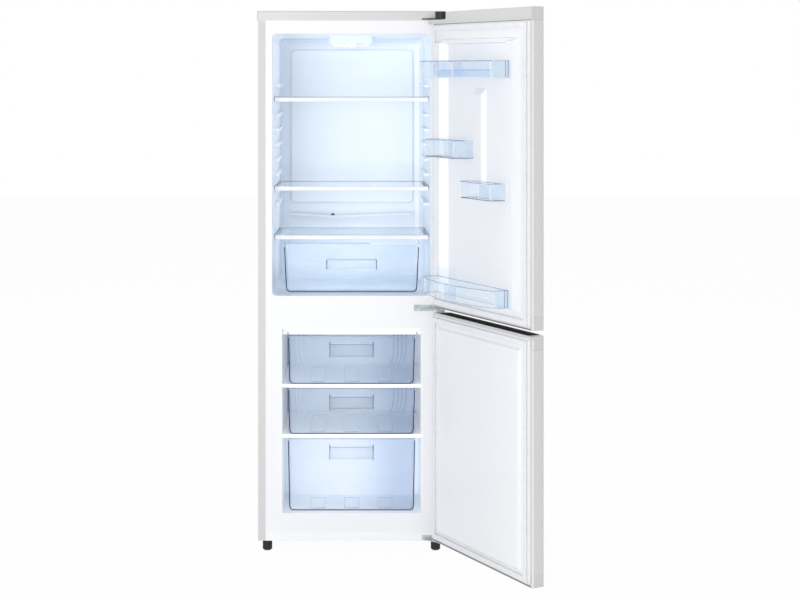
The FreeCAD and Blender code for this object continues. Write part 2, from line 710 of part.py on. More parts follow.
def thermostat_knob():
    centre = knob_centre() - UP * RUNNING_GAP
    low = centre - UP * KNOB_HEIGHT
    body = rod(KNOB_RADIUS, low, centre)
    body = body.makeFillet(KNOB_ROUND, [edge for edge in body.Edges if edge.BoundBox.ZMax < low.z + NEAR])
    flutes = []
    for count in range(KNOB_FLUTES):
        angle = 2 * math.pi * count / KNOB_FLUTES
        place = low + V(math.cos(angle), math.sin(angle), 0) * KNOB_RADIUS
        flutes.append(rod(KNOB_FLUTE, place - UP, place + UP * (KNOB_HEIGHT - KNOB_ROUND)))
    reach = KNOB_RADIUS - KNOB_BAR_MARGIN
    bar = block(
        centre.x - KNOB_BAR_WIDTH / 2, centre.x + KNOB_BAR_WIDTH / 2, centre.y - reach, centre.y + reach,
        low.z - KNOB_BAR_HEIGHT, low.z + 1,
    )
    stem = rod(KNOB_STEM, centre - UP, centre + UP * (UNIT_HEIGHT - 2 * UNIT_WALL))
    return joined(body.cut(flutes), bar, stem)


def lamp_lens():
    """A shallow bowl that closes the lamp's room from below."""
    half = UNIT_WIDTH / 2 - 2 * UNIT_WALL
    front = UNIT_FRONT + LENS_FRONT
    back = UNIT_FRONT + UNIT_DEPTH - 2 * UNIT_WALL
    corner = UNIT_CORNER - 2 * UNIT_WALL

    def bowl(inset, top, drop):
        slope = LENS_SLOPE * drop / LENS_DROP
        wires = [
            lifted(rounded_wire(-half + inset, half - inset, front + inset, back - inset, corner - inset), top),
            lifted(
                rounded_wire(
                    -half + inset + slope, half - inset - slope, front + inset + slope, back - inset - slope,
                    corner - inset,
                ),
                top - drop,
            ),
        ]
        return loft(wires)

    rim = slab(-half, half, front, back, unit_bottom(), unit_bottom() + UNIT_WALL, corner)
    outer = joined(bowl(0, unit_bottom(), LENS_DROP), rim)
    inner = joined(
        bowl(LENS_WALL, unit_bottom(), LENS_DROP - LENS_WALL),
        slab(
            -half + LENS_WALL, half - LENS_WALL, front + LENS_WALL, back - LENS_WALL, unit_bottom(),
            unit_bottom() + UNIT_WALL, corner - LENS_WALL,
        ),
    )
    return outer.cut(inner)


def lamp_bulb():
    """A tubular bulb that stands out of the lamp room's right wall."""
    y = UNIT_FRONT + (LENS_FRONT + UNIT_DEPTH - 2 * UNIT_WALL) / 2
    z = unit_bottom() + UNIT_WALL + BULB_RADIUS
    wall = V(UNIT_WIDTH / 2 - 2 * UNIT_WALL, y, z)
    glass = rod(BULB_RADIUS, wall - V(BULB_LENGTH, 0, 0), wall - V(BULB_LENGTH / 3, 0, 0))
    glass = glass.makeFillet(
        BULB_ROUND, [edge for edge in glass.Edges if edge.BoundBox.XMax < wall.x - BULB_LENGTH + NEAR]
    )
    socket = rod(SOCKET_RADIUS, wall - V(BULB_LENGTH / 3, 0, 0), wall)
    return joined(glass, socket)


def door_switch():
    body = block(
        SWITCH_X - SWITCH_WIDTH / 2, SWITCH_X + SWITCH_WIDTH / 2, LINER_WALL, LINER_WALL + SWITCH_DEPTH,
        SWITCH_Z - SWITCH_HEIGHT / 2, SWITCH_Z + SWITCH_HEIGHT / 2,
    )
    bore = rod(
        PLUNGER_RADIUS + STEM_CLEARANCE, V(SWITCH_X, 0, SWITCH_Z),
        V(SWITCH_X, LINER_WALL + SWITCH_DEPTH - UNIT_WALL, SWITCH_Z),
    )
    return body.cut(bore)


def switch_plunger():
    front = V(SWITCH_X, -PLUNGER_PROUD, SWITCH_Z)
    body = rod(PLUNGER_RADIUS, front, front + INWARD * PLUNGER_LENGTH)
    return body.makeFillet(PLUNGER_ROUND, [edge for edge in body.Edges if edge.BoundBox.YMax < front.y + NEAR])


# Shelves


def shelf_places():
    """The underside of each glass."""
    return {
        "upper": FRIDGE_FLOOR + RIB_FIRST + RIB_PITCH * UPPER_SHELF_RIB,
        "middle": FRIDGE_FLOOR + RIB_FIRST + RIB_PITCH * MIDDLE_SHELF_RIB,
        "cover": FRIDGE_FLOOR + CRISPER_COVER_HEIGHT,
    }


def shelf_half(y):
    """Half the shelf's width at a depth: it follows the drafted walls."""
    return FRIDGE_HALF - FRIDGE_DRAFT * y / FRIDGE_DEPTH - SHELF_CLEARANCE


def shelf_glass(level):
    front = SHELF_FRONT + GLASS_SETBACK
    back = SHELF_FRONT + SHELF_DEPTH
    half = shelf_half(back)
    return block(-half, half, front, back, level, level + GLASS_THICKNESS)


def shelf_trim(level):
    """The white moulding that grips the glass's front edge."""
    half = shelf_half(SHELF_FRONT + TRIM_DEPTH)
    top = level + GLASS_THICKNESS + TRIM_LIP
    bar = slab(-half, half, SHELF_FRONT, SHELF_FRONT + TRIM_DEPTH, top - TRIM_HEIGHT, top, TRIM_CORNER)
    front_edges = [
        edge for edge in bar.Edges
        if edge.BoundBox.YMax < SHELF_FRONT + NEAR and edge.BoundBox.ZMax - edge.BoundBox.ZMin < NEAR
    ]
    bar = bar.makeFillet(TRIM_ROUND, front_edges)
    return bar.cut(shelf_glass(level))


# Freezer fittings


def freezer_shelf(level, back):
    """An evaporator shelf: a plate with the refrigerant's tube below it."""
    half = FREEZER_HALF
    top = level + EVAPORATOR_SHELF
    front = EVAPORATOR_FRONT + TRIM_DEPTH
    plate = block(-half, half, front, back, top - EVAPORATOR_PLATE, top)
    depth_low = front + 2 * PIPE_BEND
    depth_high = back - PIPE_BEND
    runs = serpentine(half - PIPE_BEND, depth_low, depth_high, EVAPORATOR_RUNS)
    z = top - EVAPORATOR_PLATE - EVAPORATOR_TUBE + 0.5
    coil = pipe([V(x, y, z) for x, y in runs], EVAPORATOR_TUBE, PIPE_BEND)
    return joined(plate, coil)


def freezer_trims():
    """The white strips at the front of each shelf and under the ceiling."""
    half = FREEZER_HALF
    strips = []
    spans = [
        (STEP_LEVEL, STEP_LEVEL + EVAPORATOR_SHELF),
        (UPPER_EVAPORATOR, UPPER_EVAPORATOR + EVAPORATOR_SHELF),
        (FREEZER_CEILING - TOP_TRIM_HEIGHT, FREEZER_CEILING),
    ]
    for low, high in spans:
        strip = block(-half, half, EVAPORATOR_FRONT, EVAPORATOR_FRONT + TRIM_DEPTH, low, high)
        lines = [
            edge for edge in strip.Edges
            if edge.BoundBox.YMax < EVAPORATOR_FRONT + NEAR and edge.BoundBox.XMax - edge.BoundBox.XMin > half
        ]
        strips.append(strip.makeFillet(STRIP_ROUND, lines).common(freezer_tub(0)))
    return Part.makeCompound(strips)


def drawer(half, front, depth, bottom, height, taper, wall, corner, grip):
    """An open tray with tapered walls, a rim, a recessed grip and raised channels in its floor.

    grip is its width, its height and how far its top lies under the rim.
    """

    def hollow(inset, low):
        narrow, wide = half - taper - inset, half - inset
        return loft(
            [
                lifted(rounded_wire(-narrow, narrow, front + inset, front + depth - taper - inset, corner - inset), low),
                lifted(rounded_wire(-wide, wide, front + inset, front + depth - inset, corner - inset), bottom + height),
            ]
        )

    shell = hollow(0, bottom).cut(hollow(wall, bottom + wall))
    width, tall, drop = grip
    top = bottom + height - drop
    pocket = block(
        -width / 2 - wall, width / 2 + wall, front, front + GRIP_DEPTH + wall, top - tall - wall, top + wall
    )
    recess = block(-width / 2, width / 2, front - 1, front + GRIP_DEPTH, top - tall, top)
    channels = []
    length = depth - taper - 6 * corner
    for count in (-1, 0, 1):
        x = count * CHANNEL_PITCH
        start = front + 3 * corner
        channels.append(
            slab(
                x - CHANNEL_WIDTH / 2, x + CHANNEL_WIDTH / 2, start, start + length, bottom + wall / 2,
                bottom + wall + CHANNEL_HEIGHT, corner / 2,
            )
        )
    return joined(shell, pocket, *channels).cut(recess)


def freezer_drawer(bottom, height, depth):
    half = FREEZER_HALF - DRAWER_SIDE_GAP
    grip = (DRAWER_GRIP_WIDTH, DRAWER_GRIP_HEIGHT, DRAWER_GRIP_DROP)
    return drawer(half, DRAWER_FRONT, depth, bottom, height, DRAWER_TAPER, DRAWER_WALL, DRAWER_CORNER, grip)


def crisper():
    grip = (CRISPER_GRIP_WIDTH, CRISPER_GRIP_HEIGHT, CRISPER_GRIP_DROP)
    half = FRIDGE_HALF - CRISPER_SIDE_GAP
    bottom = FRIDGE_FLOOR + RUNNING_GAP
    return drawer(
        half, SHELF_FRONT, CRISPER_DEPTH, bottom, CRISPER_HEIGHT, CRISPER_TAPER, CRISPER_WALL, DRAWER_CORNER, grip
    )


# Doors


def door_prism(inset, z0, z1):
    """The door's outline, drawn in by inset, over a span of height: flat inside, crowned outside."""
    x = HALF_WIDTH - inset
    inner = INNER_FACE
    corner = INNER_FACE - DOOR_THICKNESS + DOOR_CROWN + inset
    crown = INNER_FACE - DOOR_THICKNESS + inset
    radius = DOOR_EDGE_RADIUS - inset
    bulge = radius * (1 - math.sqrt(0.5))
    edges = [
        Part.LineSegment(V(-x, inner, z0), V(x, inner, z0)),
        Part.LineSegment(V(x, inner, z0), V(x, corner + radius, z0)),
        Part.Arc(V(x, corner + radius, z0), V(x - bulge, corner + bulge, z0), V(x - radius, corner, z0)),
        Part.Arc(V(x - radius, corner, z0), V(0, crown, z0), V(-x + radius, corner, z0)),
        Part.Arc(V(-x + radius, corner, z0), V(-x + bulge, corner + bulge, z0), V(-x, corner + radius, z0)),
        Part.LineSegment(V(-x, corner + radius, z0), V(-x, inner, z0)),
    ]
    wire = Part.Wire([edge.toShape() for edge in edges])
    return Part.Face(wire).extrude(V(0, 0, z1 - z0))


def along(distance):
    """X of a point on the closed door, measured from its hinge side."""
    return HALF_WIDTH - distance


def frustum(start, width, z0, z1, height, rises):
    """A raised form on the door's inner face; rises is how far its hinge side, free side and ends slope in."""
    near, far, ends = rises
    x0, x1 = along(start + width), along(start)
    low = rounded_wire(x0, x1, z0, z1, DYKE_CORNER)
    high = rounded_wire(x0 + far, x1 - near, z0 + ends, z1 - ends, DYKE_CORNER / 2)
    raised = stood(loft([low, lifted(high, height)]))
    raised.translate(V(0, INNER_FACE, 0))
    return raised


def bin_back():
    """Y of a bin's back, just proud of the dykes."""
    return INNER_FACE + DYKE_HEIGHT + BIN_BACK_GAP


def upper_relief(inset):
    """Raised forms of the upper door's liner; inset is taken off each one for the foam inside it."""
    low = FRIDGE_FLOOR + DYKE_BOTTOM_ABOVE + inset
    high = FRIDGE_CEILING - DYKE_TOP_BELOW - inset
    tall = DYKE_HEIGHT - inset
    dykes = [
        (DYKE_HINGE_SIDE, DYKE_HINGE_WIDTH, DYKE_HINGE_RISES),
        (DYKE_FREE_SIDE, DYKE_FREE_WIDTH, DYKE_FREE_RISES),
    ]
    forms = [frustum(side + inset, width - 2 * inset, low, high, tall, rises) for side, width, rises in dykes]
    forms.append(
        frustum(
            RIDGE_SIDE + inset, RIDGE_WIDTH - 2 * inset, FRIDGE_FLOOR + RIDGE_BOTTOM + inset,
            FRIDGE_FLOOR + RIDGE_TOP - inset, RIDGE_HEIGHT - inset, RIDGE_RISES,
        )
    )
    length = DYKE_FREE_SIDE + DYKE_FREE_WIDTH - DYKE_HINGE_SIDE - 2 * inset
    end = DYKE_END_WIDTH - 2 * inset
    for z0 in (low, high - end):
        forms.append(frustum(DYKE_HINGE_SIDE + inset, length, z0, z0 + end, tall / 2, END_RISES))
    return forms


def lug(spot, bin_size, side):
    """The block beside a bin's end that carries it; side is -1 before the bin's start and 1 past its end."""
    gap = BIN_BACK_GAP
    near, far = (spot - gap, spot - gap - LUG_WIDTH) if side < 0 else (spot + gap, spot + gap + LUG_WIDTH)
    top = FRIDGE_FLOOR + bin_size["bottom"] + bin_size["height"] - LUG_BELOW_RIM
    low_x, high_x = sorted((along(near), along(far)))
    return block(low_x, high_x, INNER_FACE - LINER_WALL, bin_back() + LUG_REACH, top - LUG_LENGTH, top)


def lugs():
    pieces = []
    for bin_size in (TOP_BIN, HINGE_BIN, FREE_BIN, LOW_BIN):
        pieces.append(lug(bin_size["start"], bin_size, -1))
        pieces.append(lug(bin_size["start"] + bin_size["length"], bin_size, 1))
    return pieces


def lower_relief(inset):
    z0, z1 = LOWER_DOOR
    width = CABINET_WIDTH - LOW_PANEL_SIDE - LOW_PANEL_FREE_SIDE - 2 * inset
    return [
        frustum(
            LOW_PANEL_SIDE + inset, width, z0 + LOW_PANEL_END + inset, z1 - LOW_PANEL_TOP_END - inset,
            LOW_PANEL_HEIGHT - inset, LOW_PANEL_RISES,
        )
    ]


def door_core(span):
    """What the skin and the end caps leave inside the door, up to the liner."""
    z0, z1 = span
    face = INNER_FACE - LINER_WALL
    below = block(-HALF_WIDTH, HALF_WIDTH, INNER_FACE - DOOR_THICKNESS, face, z0, z1)
    middle = door_prism(SHEET, z0 + DOOR_CAP_HEIGHT, z1 - DOOR_CAP_HEIGHT)
    ends = [
        door_prism(DOOR_CAP_WALL, z0 + DOOR_CAP_WALL, z0 + DOOR_CAP_HEIGHT),
        door_prism(DOOR_CAP_WALL, z1 - DOOR_CAP_HEIGHT, z1 - DOOR_CAP_WALL),
    ]
    return joined(middle, *ends).common(below)


def seat_span(span):
    """The liner's lower and upper ends; the upper door's top cap shows its whole height inside."""
    z0, z1 = span
    return z0 + LINER_INSET, z1 - (DOOR_CAP_HEIGHT if span == UPPER_DOOR else LINER_INSET)


def liner_seat(span):
    """The shallow pocket in the door's inner face that the liner fills."""
    half = HALF_WIDTH - LINER_INSET
    low, high = seat_span(span)
    return panel(-half, half, INNER_FACE - LINER_WALL, INNER_FACE, low, high, LINER_INSET)


def pin_bore(z0, z1):
    return rod(PIN_RADIUS + PIN_CLEARANCE, V(HINGE_X, HINGE_Y, z0), V(HINGE_X, HINGE_Y, z1))


def top_notch():
    """The corner of the upper door's top cap that is left out for the hinge plate and its cover."""
    return block(
        along(NOTCH_LENGTH), HALF_WIDTH + 1, INNER_FACE - DOOR_THICKNESS - 1, INNER_FACE + 1, NOTCH_LEVEL,
        UPPER_DOOR[1] + 1,
    )


def notch_floor():
    """The cap's own wall round the notch, so that the foam stays covered."""
    return block(
        along(NOTCH_LENGTH + DOOR_CAP_WALL), HALF_WIDTH, INNER_FACE - DOOR_THICKNESS, INNER_FACE,
        NOTCH_LEVEL - DOOR_CAP_WALL, UPPER_DOOR[1],
    )


def door_bores(span):
    """The two pin bores of a door: one up from its bottom, one down from its top."""
    z0, z1 = span
    top = NOTCH_LEVEL if span == UPPER_DOOR else z1
    depth = PIN_LENGTH - HINGE_FREE + PIN_CLEARANCE * 4
    return (z0 - 1, z0 + depth), (top - depth, top + 1)


def bushes(span):
    """The solid bosses round the two pin bores, inside the caps."""
    (low_start, low_end), (high_start, high_end) = door_bores(span)
    ends = [(low_start + 1, low_end + DOOR_CAP_WALL), (high_start - DOOR_CAP_WALL, high_end - 1)]
    return [rod(BUSH_RADIUS, V(HINGE_X, HINGE_Y, z0), V(HINGE_X, HINGE_Y, z1)) for z0, z1 in ends]


def door_caps(span):
    """The moulded caps over the door's two ends, with the hinge bushes in them."""
    z0, z1 = span
    core = door_core(span)
    seat = liner_seat(span)
    lower_bore, upper_bore = door_bores(span)
    foot_bush, head_bush = bushes(span)
    bottom = door_prism(0, z0, z0 + DOOR_CAP_HEIGHT).cut([core, seat])
    top = door_prism(0, z1 - DOOR_CAP_HEIGHT, z1).cut([core, seat])
    bottom = joined(bottom, foot_bush.common(core)).cut(pin_bore(*lower_bore))
    top = joined(top, head_bush.common(core))
    if span == UPPER_DOOR:
        inside = core.common(notch_floor())
        top = joined(top, inside).cut(top_notch())
    return Part.makeCompound([bottom, top.cut(pin_bore(*upper_bore))])


def door_skin(span):
    z0, z1 = span
    low, high = z0 + DOOR_CAP_HEIGHT, z1 - DOOR_CAP_HEIGHT
    outer = door_prism(0, low, high)
    return outer.cut([door_core(span), liner_seat(span)])


def relief_core(forms):
    """The hollow behind a liner's raised forms, open through the plate."""
    sunk = []
    for form in forms:
        deeper = form.copy()
        deeper.translate(V(0, -LINER_WALL, 0))
        sunk += [form, deeper]
    return joined(*sunk)


def door_liner(span, relief, hollow, extras):
    """A formed sheet: a plate in the door's pocket with its raised forms."""
    formed = joined(liner_seat(span), *relief).cut(hollow)
    return joined(formed, *extras) if extras else formed


def door_foam(span, hollow, caps, liner):
    cuts = [caps, liner] + bushes(span)
    if span == UPPER_DOOR:
        cuts.append(top_notch())
    return joined(door_core(span), hollow).cut(cuts)


def groove(span):
    """The shallow line round the lower door's raised panel."""
    z0, z1 = span
    face = INNER_FACE + LOW_PANEL_HEIGHT
    x0 = along(CABINET_WIDTH - LOW_PANEL_FREE_SIDE - GROOVE_INSET)
    x1 = along(LOW_PANEL_SIDE + GROOVE_INSET)
    low = z0 + LOW_PANEL_END + GROOVE_INSET
    high = z1 - LOW_PANEL_TOP_END - GROOVE_INSET
    inner = (x0 + GROOVE_WIDTH, x1 - GROOVE_WIDTH, low + GROOVE_WIDTH, high - GROOVE_WIDTH)
    return ring((x0, x1, low, high), inner, face - GROOVE_DEPTH, face + 1)


def gasket(span):
    """The magnetic seal: a foot in the liner, a neck and a soft head, stopped just short of the cabinet."""
    seat_low, seat_high = seat_span(span)
    half = HALF_WIDTH - LINER_INSET - GASKET_MARGIN

    def frame(inset, width, y0, y1):
        x, low, high = half - inset, seat_low + GASKET_MARGIN + inset, seat_high - GASKET_MARGIN - inset
        return ring((-x, x, low, high), (-x + width, x - width, low + width, high - width), y0, y1)

    neck_inset = (GASKET_WIDTH - GASKET_NECK) / 2
    foot_top = INNER_FACE + GASKET_FOOT
    base = frame(0, GASKET_WIDTH, INNER_FACE, foot_top)
    neck = frame(neck_inset, GASKET_NECK, foot_top, -GASKET_HEAD)
    head = frame(0, GASKET_WIDTH, -GASKET_HEAD, -RUNNING_GAP)
    return joined(base, neck, head)


# Bins


def bin_outline(size, inset, drop):
    """A bin's outline seen from above, with a bowed front where the bin has one."""
    x1 = along(size["start"]) - inset - drop
    x0 = along(size["start"] + size["length"]) + inset + drop
    back = bin_back() + inset
    front = INNER_FACE + size["reach"] - inset - drop
    bow = size.get("bow", 0)
    if not bow:
        return rounded_wire(x0, x1, back, front, BIN_CORNER - inset)
    middle = V((x0 + x1) / 2, front + bow)
    edges = [
        Part.LineSegment(V(x0, back), V(x1, back)),
        Part.LineSegment(V(x1, back), V(x1, front)),
        Part.Arc(V(x1, front), middle, V(x0, front)),
        Part.LineSegment(V(x0, front), V(x0, back)),
    ]
    return Part.Wire([edge.toShape() for edge in edges])


def door_bin(size):
    bottom = FRIDGE_FLOOR + size["bottom"]
    top = bottom + size["height"]

    def body(inset, low):
        return loft([lifted(bin_outline(size, inset, BIN_TAPER), low), lifted(bin_outline(size, inset, 0), top)])

    shell = body(0, bottom).cut(body(BIN_WALL, bottom + BIN_WALL))
    hooks = []
    rest = top - LUG_BELOW_RIM + RUNNING_GAP
    for end in (-1, 1):
        edge = size["start"] if end < 0 else size["start"] + size["length"]
        tip = edge + end * (LUG_WIDTH + BIN_BACK_GAP)
        base = edge - end * BIN_WALL / 2
        low_x, high_x = sorted((along(base), along(tip)))
        hooks.append(block(low_x, high_x, bin_back(), bin_back() + LUG_REACH, rest, top))
    return joined(shell, *hooks)


def guard():
    """The tall piece at the hinge end of the lowest bin's back."""
    bottom = FRIDGE_FLOOR + LOW_BIN["bottom"] + LOW_BIN["height"] - BIN_WALL
    x1 = along(LOW_BIN["start"] + BIN_TAPER)
    return block(x1 - GUARD_LENGTH, x1, bin_back(), bin_back() + BIN_WALL, bottom, bottom + GUARD_HEIGHT)


def egg_tray():
    """A row of cups that lies on the floor of the top bin."""
    floor = FRIDGE_FLOOR + TOP_BIN["bottom"] + BIN_WALL + RUNNING_GAP
    x1 = along(TOP_BIN["start"] + EGG_TRAY_START)
    x0 = x1 - EGG_COUNT * EGG_PITCH
    front = INNER_FACE + TOP_BIN["reach"] - BIN_WALL - BIN_TAPER - EGG_TRAY_MARGIN
    back = bin_back() + BIN_WALL + EGG_TRAY_MARGIN
    tray = slab(x0, x1, back, front, floor, floor + EGG_TRAY_HEIGHT, BIN_CORNER)
    inside = slab(
        x0 + BIN_WALL, x1 - BIN_WALL, back + BIN_WALL, front - BIN_WALL, floor, floor + EGG_TRAY_HEIGHT - BIN_WALL,
        BIN_CORNER - BIN_WALL,
    )
    tray = tray.cut(inside)
    cups, hollows = [], []
    middle = (front + back) / 2
    for count in range(EGG_COUNT):
        centre = V(x0 + EGG_PITCH * (count + 0.5), middle, floor + EGG_TRAY_HEIGHT)
        below = block(x0, x1, back, front, floor, floor + EGG_TRAY_HEIGHT)
        cups.append(Part.makeSphere(EGG_RADIUS, centre).common(below))
        hollows.append(Part.makeSphere(EGG_RADIUS - BIN_WALL / 2, centre))
    return joined(tray, *cups).cut(hollows)


# Hinges


def pin(z0, z1):
    return rod(PIN_RADIUS, V(HINGE_X, HINGE_Y, z0), V(HINGE_X, HINGE_Y, z1))


def hinge_arm(z0, z1, back):
    """A plate with a rounded nose round the hinge axis; back is how far it reaches past the cabinet's front."""
    nose = rod(HINGE_NOSE, V(HINGE_X, HINGE_Y, z0), V(HINGE_X, HINGE_Y, z1))
    web = prism(
        [
            (HINGE_X + HINGE_NOSE, HINGE_Y), (HINGE_X + HINGE_NOSE, 0), (PLATE_LEFT, 0),
            (HINGE_X - HINGE_NOSE, HINGE_Y),
        ],
        z0, z1,
    )
    if not back:
        return joined(nose, web)
    return joined(nose, web, block(PLATE_LEFT, PLATE_RIGHT, 0, back, z0, z1))


def top_hinge():
    z0 = NOTCH_LEVEL + HINGE_FREE
    plate = hinge_arm(z0, z0 + HINGE_PLATE, HINGE_BACK)
    return joined(plate, pin(z0 - PIN_LENGTH, z0 + HINGE_PLATE)).cut(screw_shanks())


def top_hinge_cover():
    z0 = NOTCH_LEVEL + HINGE_FREE + HINGE_PLATE
    z1 = CABINET_TOP - HINGE_COVER_TOP
    shell = rod(HINGE_COVER_RADIUS, V(HINGE_X, HINGE_Y, z0), V(HINGE_X, HINGE_Y, z1))
    tail = block(HINGE_X - HINGE_INSET, HINGE_X + HINGE_INSET, HINGE_Y, 0, z0, z1)
    return joined(shell, tail)


def middle_hinge():
    middle = (LOWER_DOOR[1] + UPPER_DOOR[0]) / 2
    z0, z1 = middle - HINGE_ARM / 2, middle + HINGE_ARM / 2
    tab = panel(TAB_X, TAB_X + TAB_WIDTH, -HINGE_TAB, 0, LOWER_DOOR[1], LOWER_DOOR[1] + TAB_HEIGHT, HINGE_TAB)
    pins = pin(z0 - PIN_LENGTH, z1 + PIN_LENGTH)
    return joined(tab, hinge_arm(z0, z1, 0), pins).cut(screw_shanks())


def bottom_hinge():
    z1 = LOWER_DOOR[0] - HINGE_FREE
    z0 = z1 - HINGE_ARM
    tab = block(PLATE_LEFT, PLATE_RIGHT, -HINGE_TAB, 0, z0, z0 + LOW_TAB_HEIGHT)
    return joined(hinge_arm(z0, z1, 0), tab, pin(z1 - HINGE_ARM, z1 + PIN_LENGTH)).cut(screw_shanks())


def screw_places():
    """Each hinge screw: a point on the plate under its head, and the way its head faces."""
    margin = 2 * SCREW_HEAD
    top = NOTCH_LEVEL + HINGE_FREE + HINGE_PLATE
    places = [
        (V(x, y, top), UP)
        for x in (PLATE_LEFT + margin, PLATE_RIGHT - margin)
        for y in (margin + SCREW_LENGTH, HINGE_BACK - margin)
    ]
    middle = LOWER_DOOR[1] + TAB_HEIGHT / 2
    low = LOWER_DOOR[0] - HINGE_FREE - HINGE_ARM + LOW_TAB_HEIGHT - SCREW_HEAD
    last = PLATE_LEFT - SCREW_HEAD - 1
    places += [(V(x, -HINGE_TAB, middle), -INWARD) for x in (last - SCREW_PITCH, last)]
    places += [(V(x, -HINGE_TAB, low), -INWARD) for x in (PLATE_LEFT + margin, PLATE_LEFT + margin + SCREW_PITCH)]
    return places


def screw_shanks():
    return [rod(SCREW_RADIUS, place - way * SCREW_LENGTH, place + way) for place, way in screw_places()]


def hinge_screws():
    screws = []
    for place, way in screw_places():
        shank = rod(SCREW_RADIUS, place - way * SCREW_LENGTH, place)
        head = rod(SCREW_HEAD, place, place + way * SCREW_HEAD_HEIGHT)
        screws.append(joined(shank, head))
    return screws


# Feet and rollers


def foot(side):
    centre = foot_centre(side)
    top = FLOOR_GAP - RUNNING_GAP
    body = rod(FOOT_RADIUS, centre, centre + UP * top)
    body = body.makeChamfer(FOOT_ROUND, [edge for edge in body.Edges if edge.BoundBox.ZMax < NEAR])
    stem = rod(STEM_RADIUS, centre + UP * (top - 1), centre + UP * (FLOOR_GAP + STEM_LENGTH))
    return joined(body, stem)


def axle_centre(side):
    return V(side * (HALF_WIDTH - ROLLER_SIDE), ROLLER_Y, ROLLER_RADIUS)


def roller(side):
    centre = axle_centre(side)
    half = V(ROLLER_WIDTH / 2, 0, 0)
    body = rod(ROLLER_RADIUS, centre - half, centre + half)
    rims = [edge for edge in body.Edges if edge.Closed and edge.BoundBox.XMax - edge.BoundBox.XMin < NEAR]
    body = body.makeChamfer(ROLLER_CHAMFER, rims)
    return body.cut(rod(AXLE_RADIUS + AXLE_CLEARANCE, centre - half, centre + half))


def base_plate():
    """The plate that carries the compressor, with the rear rollers' ears and axles below it."""
    edge = HALF_WIDTH - SHEET
    front = MACHINE_ROOM_FRONT
    back = CABINET_DEPTH - SHEET
    plate = block(-edge, edge, front, back, BASE_LEVEL, BASE_TOP)
    rear = block(-edge, edge, back - SHEET, back, BASE_LEVEL, BASE_TOP + BASE_FLANGE)
    pieces = [rear]
    for side in (-1, 1):
        centre = axle_centre(side)
        reach = ROLLER_WIDTH / 2 + EAR_GAP
        for end in (-1, 1):
            x0, x1 = sorted((centre.x + end * reach, centre.x + end * (reach + EAR_THICKNESS)))
            pieces.append(
                block(
                    x0, x1, centre.y - EAR_WIDTH / 2, centre.y + EAR_WIDTH / 2,
                    centre.z - ROLLER_RADIUS / 2, BASE_LEVEL,
                )
            )
        tip = V(reach + EAR_THICKNESS, 0, 0)
        pieces.append(rod(AXLE_RADIUS, centre - tip, centre + tip))
    gland = gland_centre()
    hole = rod(GLAND_RADIUS - GLAND_LIP, gland - INWARD * GLAND_LENGTH, gland + INWARD * GLAND_LENGTH)
    return joined(plate, *pieces).cut(hole)


# Machine room


def compressor():
    centre = V(COMPRESSOR_X, COMPRESSOR_Y, COMPRESSOR_BOTTOM - FOOT_PLATE)
    shell = rod(COMPRESSOR_RADIUS, centre + UP * FOOT_PLATE / 2, centre + UP * (FOOT_PLATE + COMPRESSOR_HEIGHT))
    rims = [edge for edge in shell.Edges if edge.Closed and abs(edge.Length - 2 * math.pi * COMPRESSOR_RADIUS) < 1]
    shell = shell.makeFillet(COMPRESSOR_ROUND, rims)
    seam_foot = centre + UP * SEAM_LEVEL
    seam = rod(COMPRESSOR_RADIUS + SEAM_PROUD, seam_foot, seam_foot + UP * SEAM_HEIGHT)
    half_x = MOUNT_SPACING_X / 2 + MOUNT_RADIUS
    half_y = MOUNT_SPACING_Y / 2 + MOUNT_RADIUS
    plate = slab(
        centre.x - half_x, centre.x + half_x, centre.y - half_y, centre.y + half_y, centre.z, centre.z + FOOT_PLATE,
        MOUNT_RADIUS,
    )
    return joined(shell, seam, plate)


def compressor_mounts():
    mounts = []
    for x in (-1, 1):
        for y in (-1, 1):
            foot_point = V(COMPRESSOR_X + x * MOUNT_SPACING_X / 2, COMPRESSOR_Y + y * MOUNT_SPACING_Y / 2, BASE_TOP)
            body = rod(MOUNT_RADIUS, foot_point, foot_point + UP * MOUNT_HEIGHT)
            waist = rod(MOUNT_RADIUS, foot_point + UP * MOUNT_LIP, foot_point + UP * (MOUNT_HEIGHT - MOUNT_LIP)).cut(
                rod(MOUNT_RADIUS - MOUNT_GROOVE, foot_point, foot_point + UP * MOUNT_HEIGHT)
            )
            mounts.append(body.cut(waist))
    return mounts


def start_relay(shell):
    z0 = COMPRESSOR_BOTTOM + RELAY_RISE
    x0 = COMPRESSOR_X - COMPRESSOR_RADIUS - RELAY_DEPTH
    half = RELAY_WIDTH / 2
    body = block(x0, COMPRESSOR_X, COMPRESSOR_Y - half, COMPRESSOR_Y + half, z0, z0 + RELAY_HEIGHT)
    return max(body.cut(shell).Solids, key=lambda solid: solid.Volume)


def drip_pan():
    x0, x1 = COMPRESSOR_X - PAN_WIDTH / 2, COMPRESSOR_X + PAN_WIDTH / 2
    y0, y1 = COMPRESSOR_Y - PAN_DEPTH / 2, COMPRESSOR_Y + PAN_DEPTH / 2
    z0, z1 = COMPRESSOR_TOP, COMPRESSOR_TOP + PAN_HEIGHT
    outer = slab(x0, x1, y0, y1, z0, z1, MOUNT_RADIUS)
    inner = slab(
        x0 + PAN_WALL, x1 - PAN_WALL, y0 + PAN_WALL, y1 - PAN_WALL, z0 + PAN_WALL, z1, MOUNT_RADIUS - PAN_WALL
    )
    return outer.cut(inner)


def coil_span():
    half = HALF_WIDTH - COIL_MARGIN
    return half, ROOM_CEILING + COIL_LOW, CABINET_TOP - COIL_HIGH


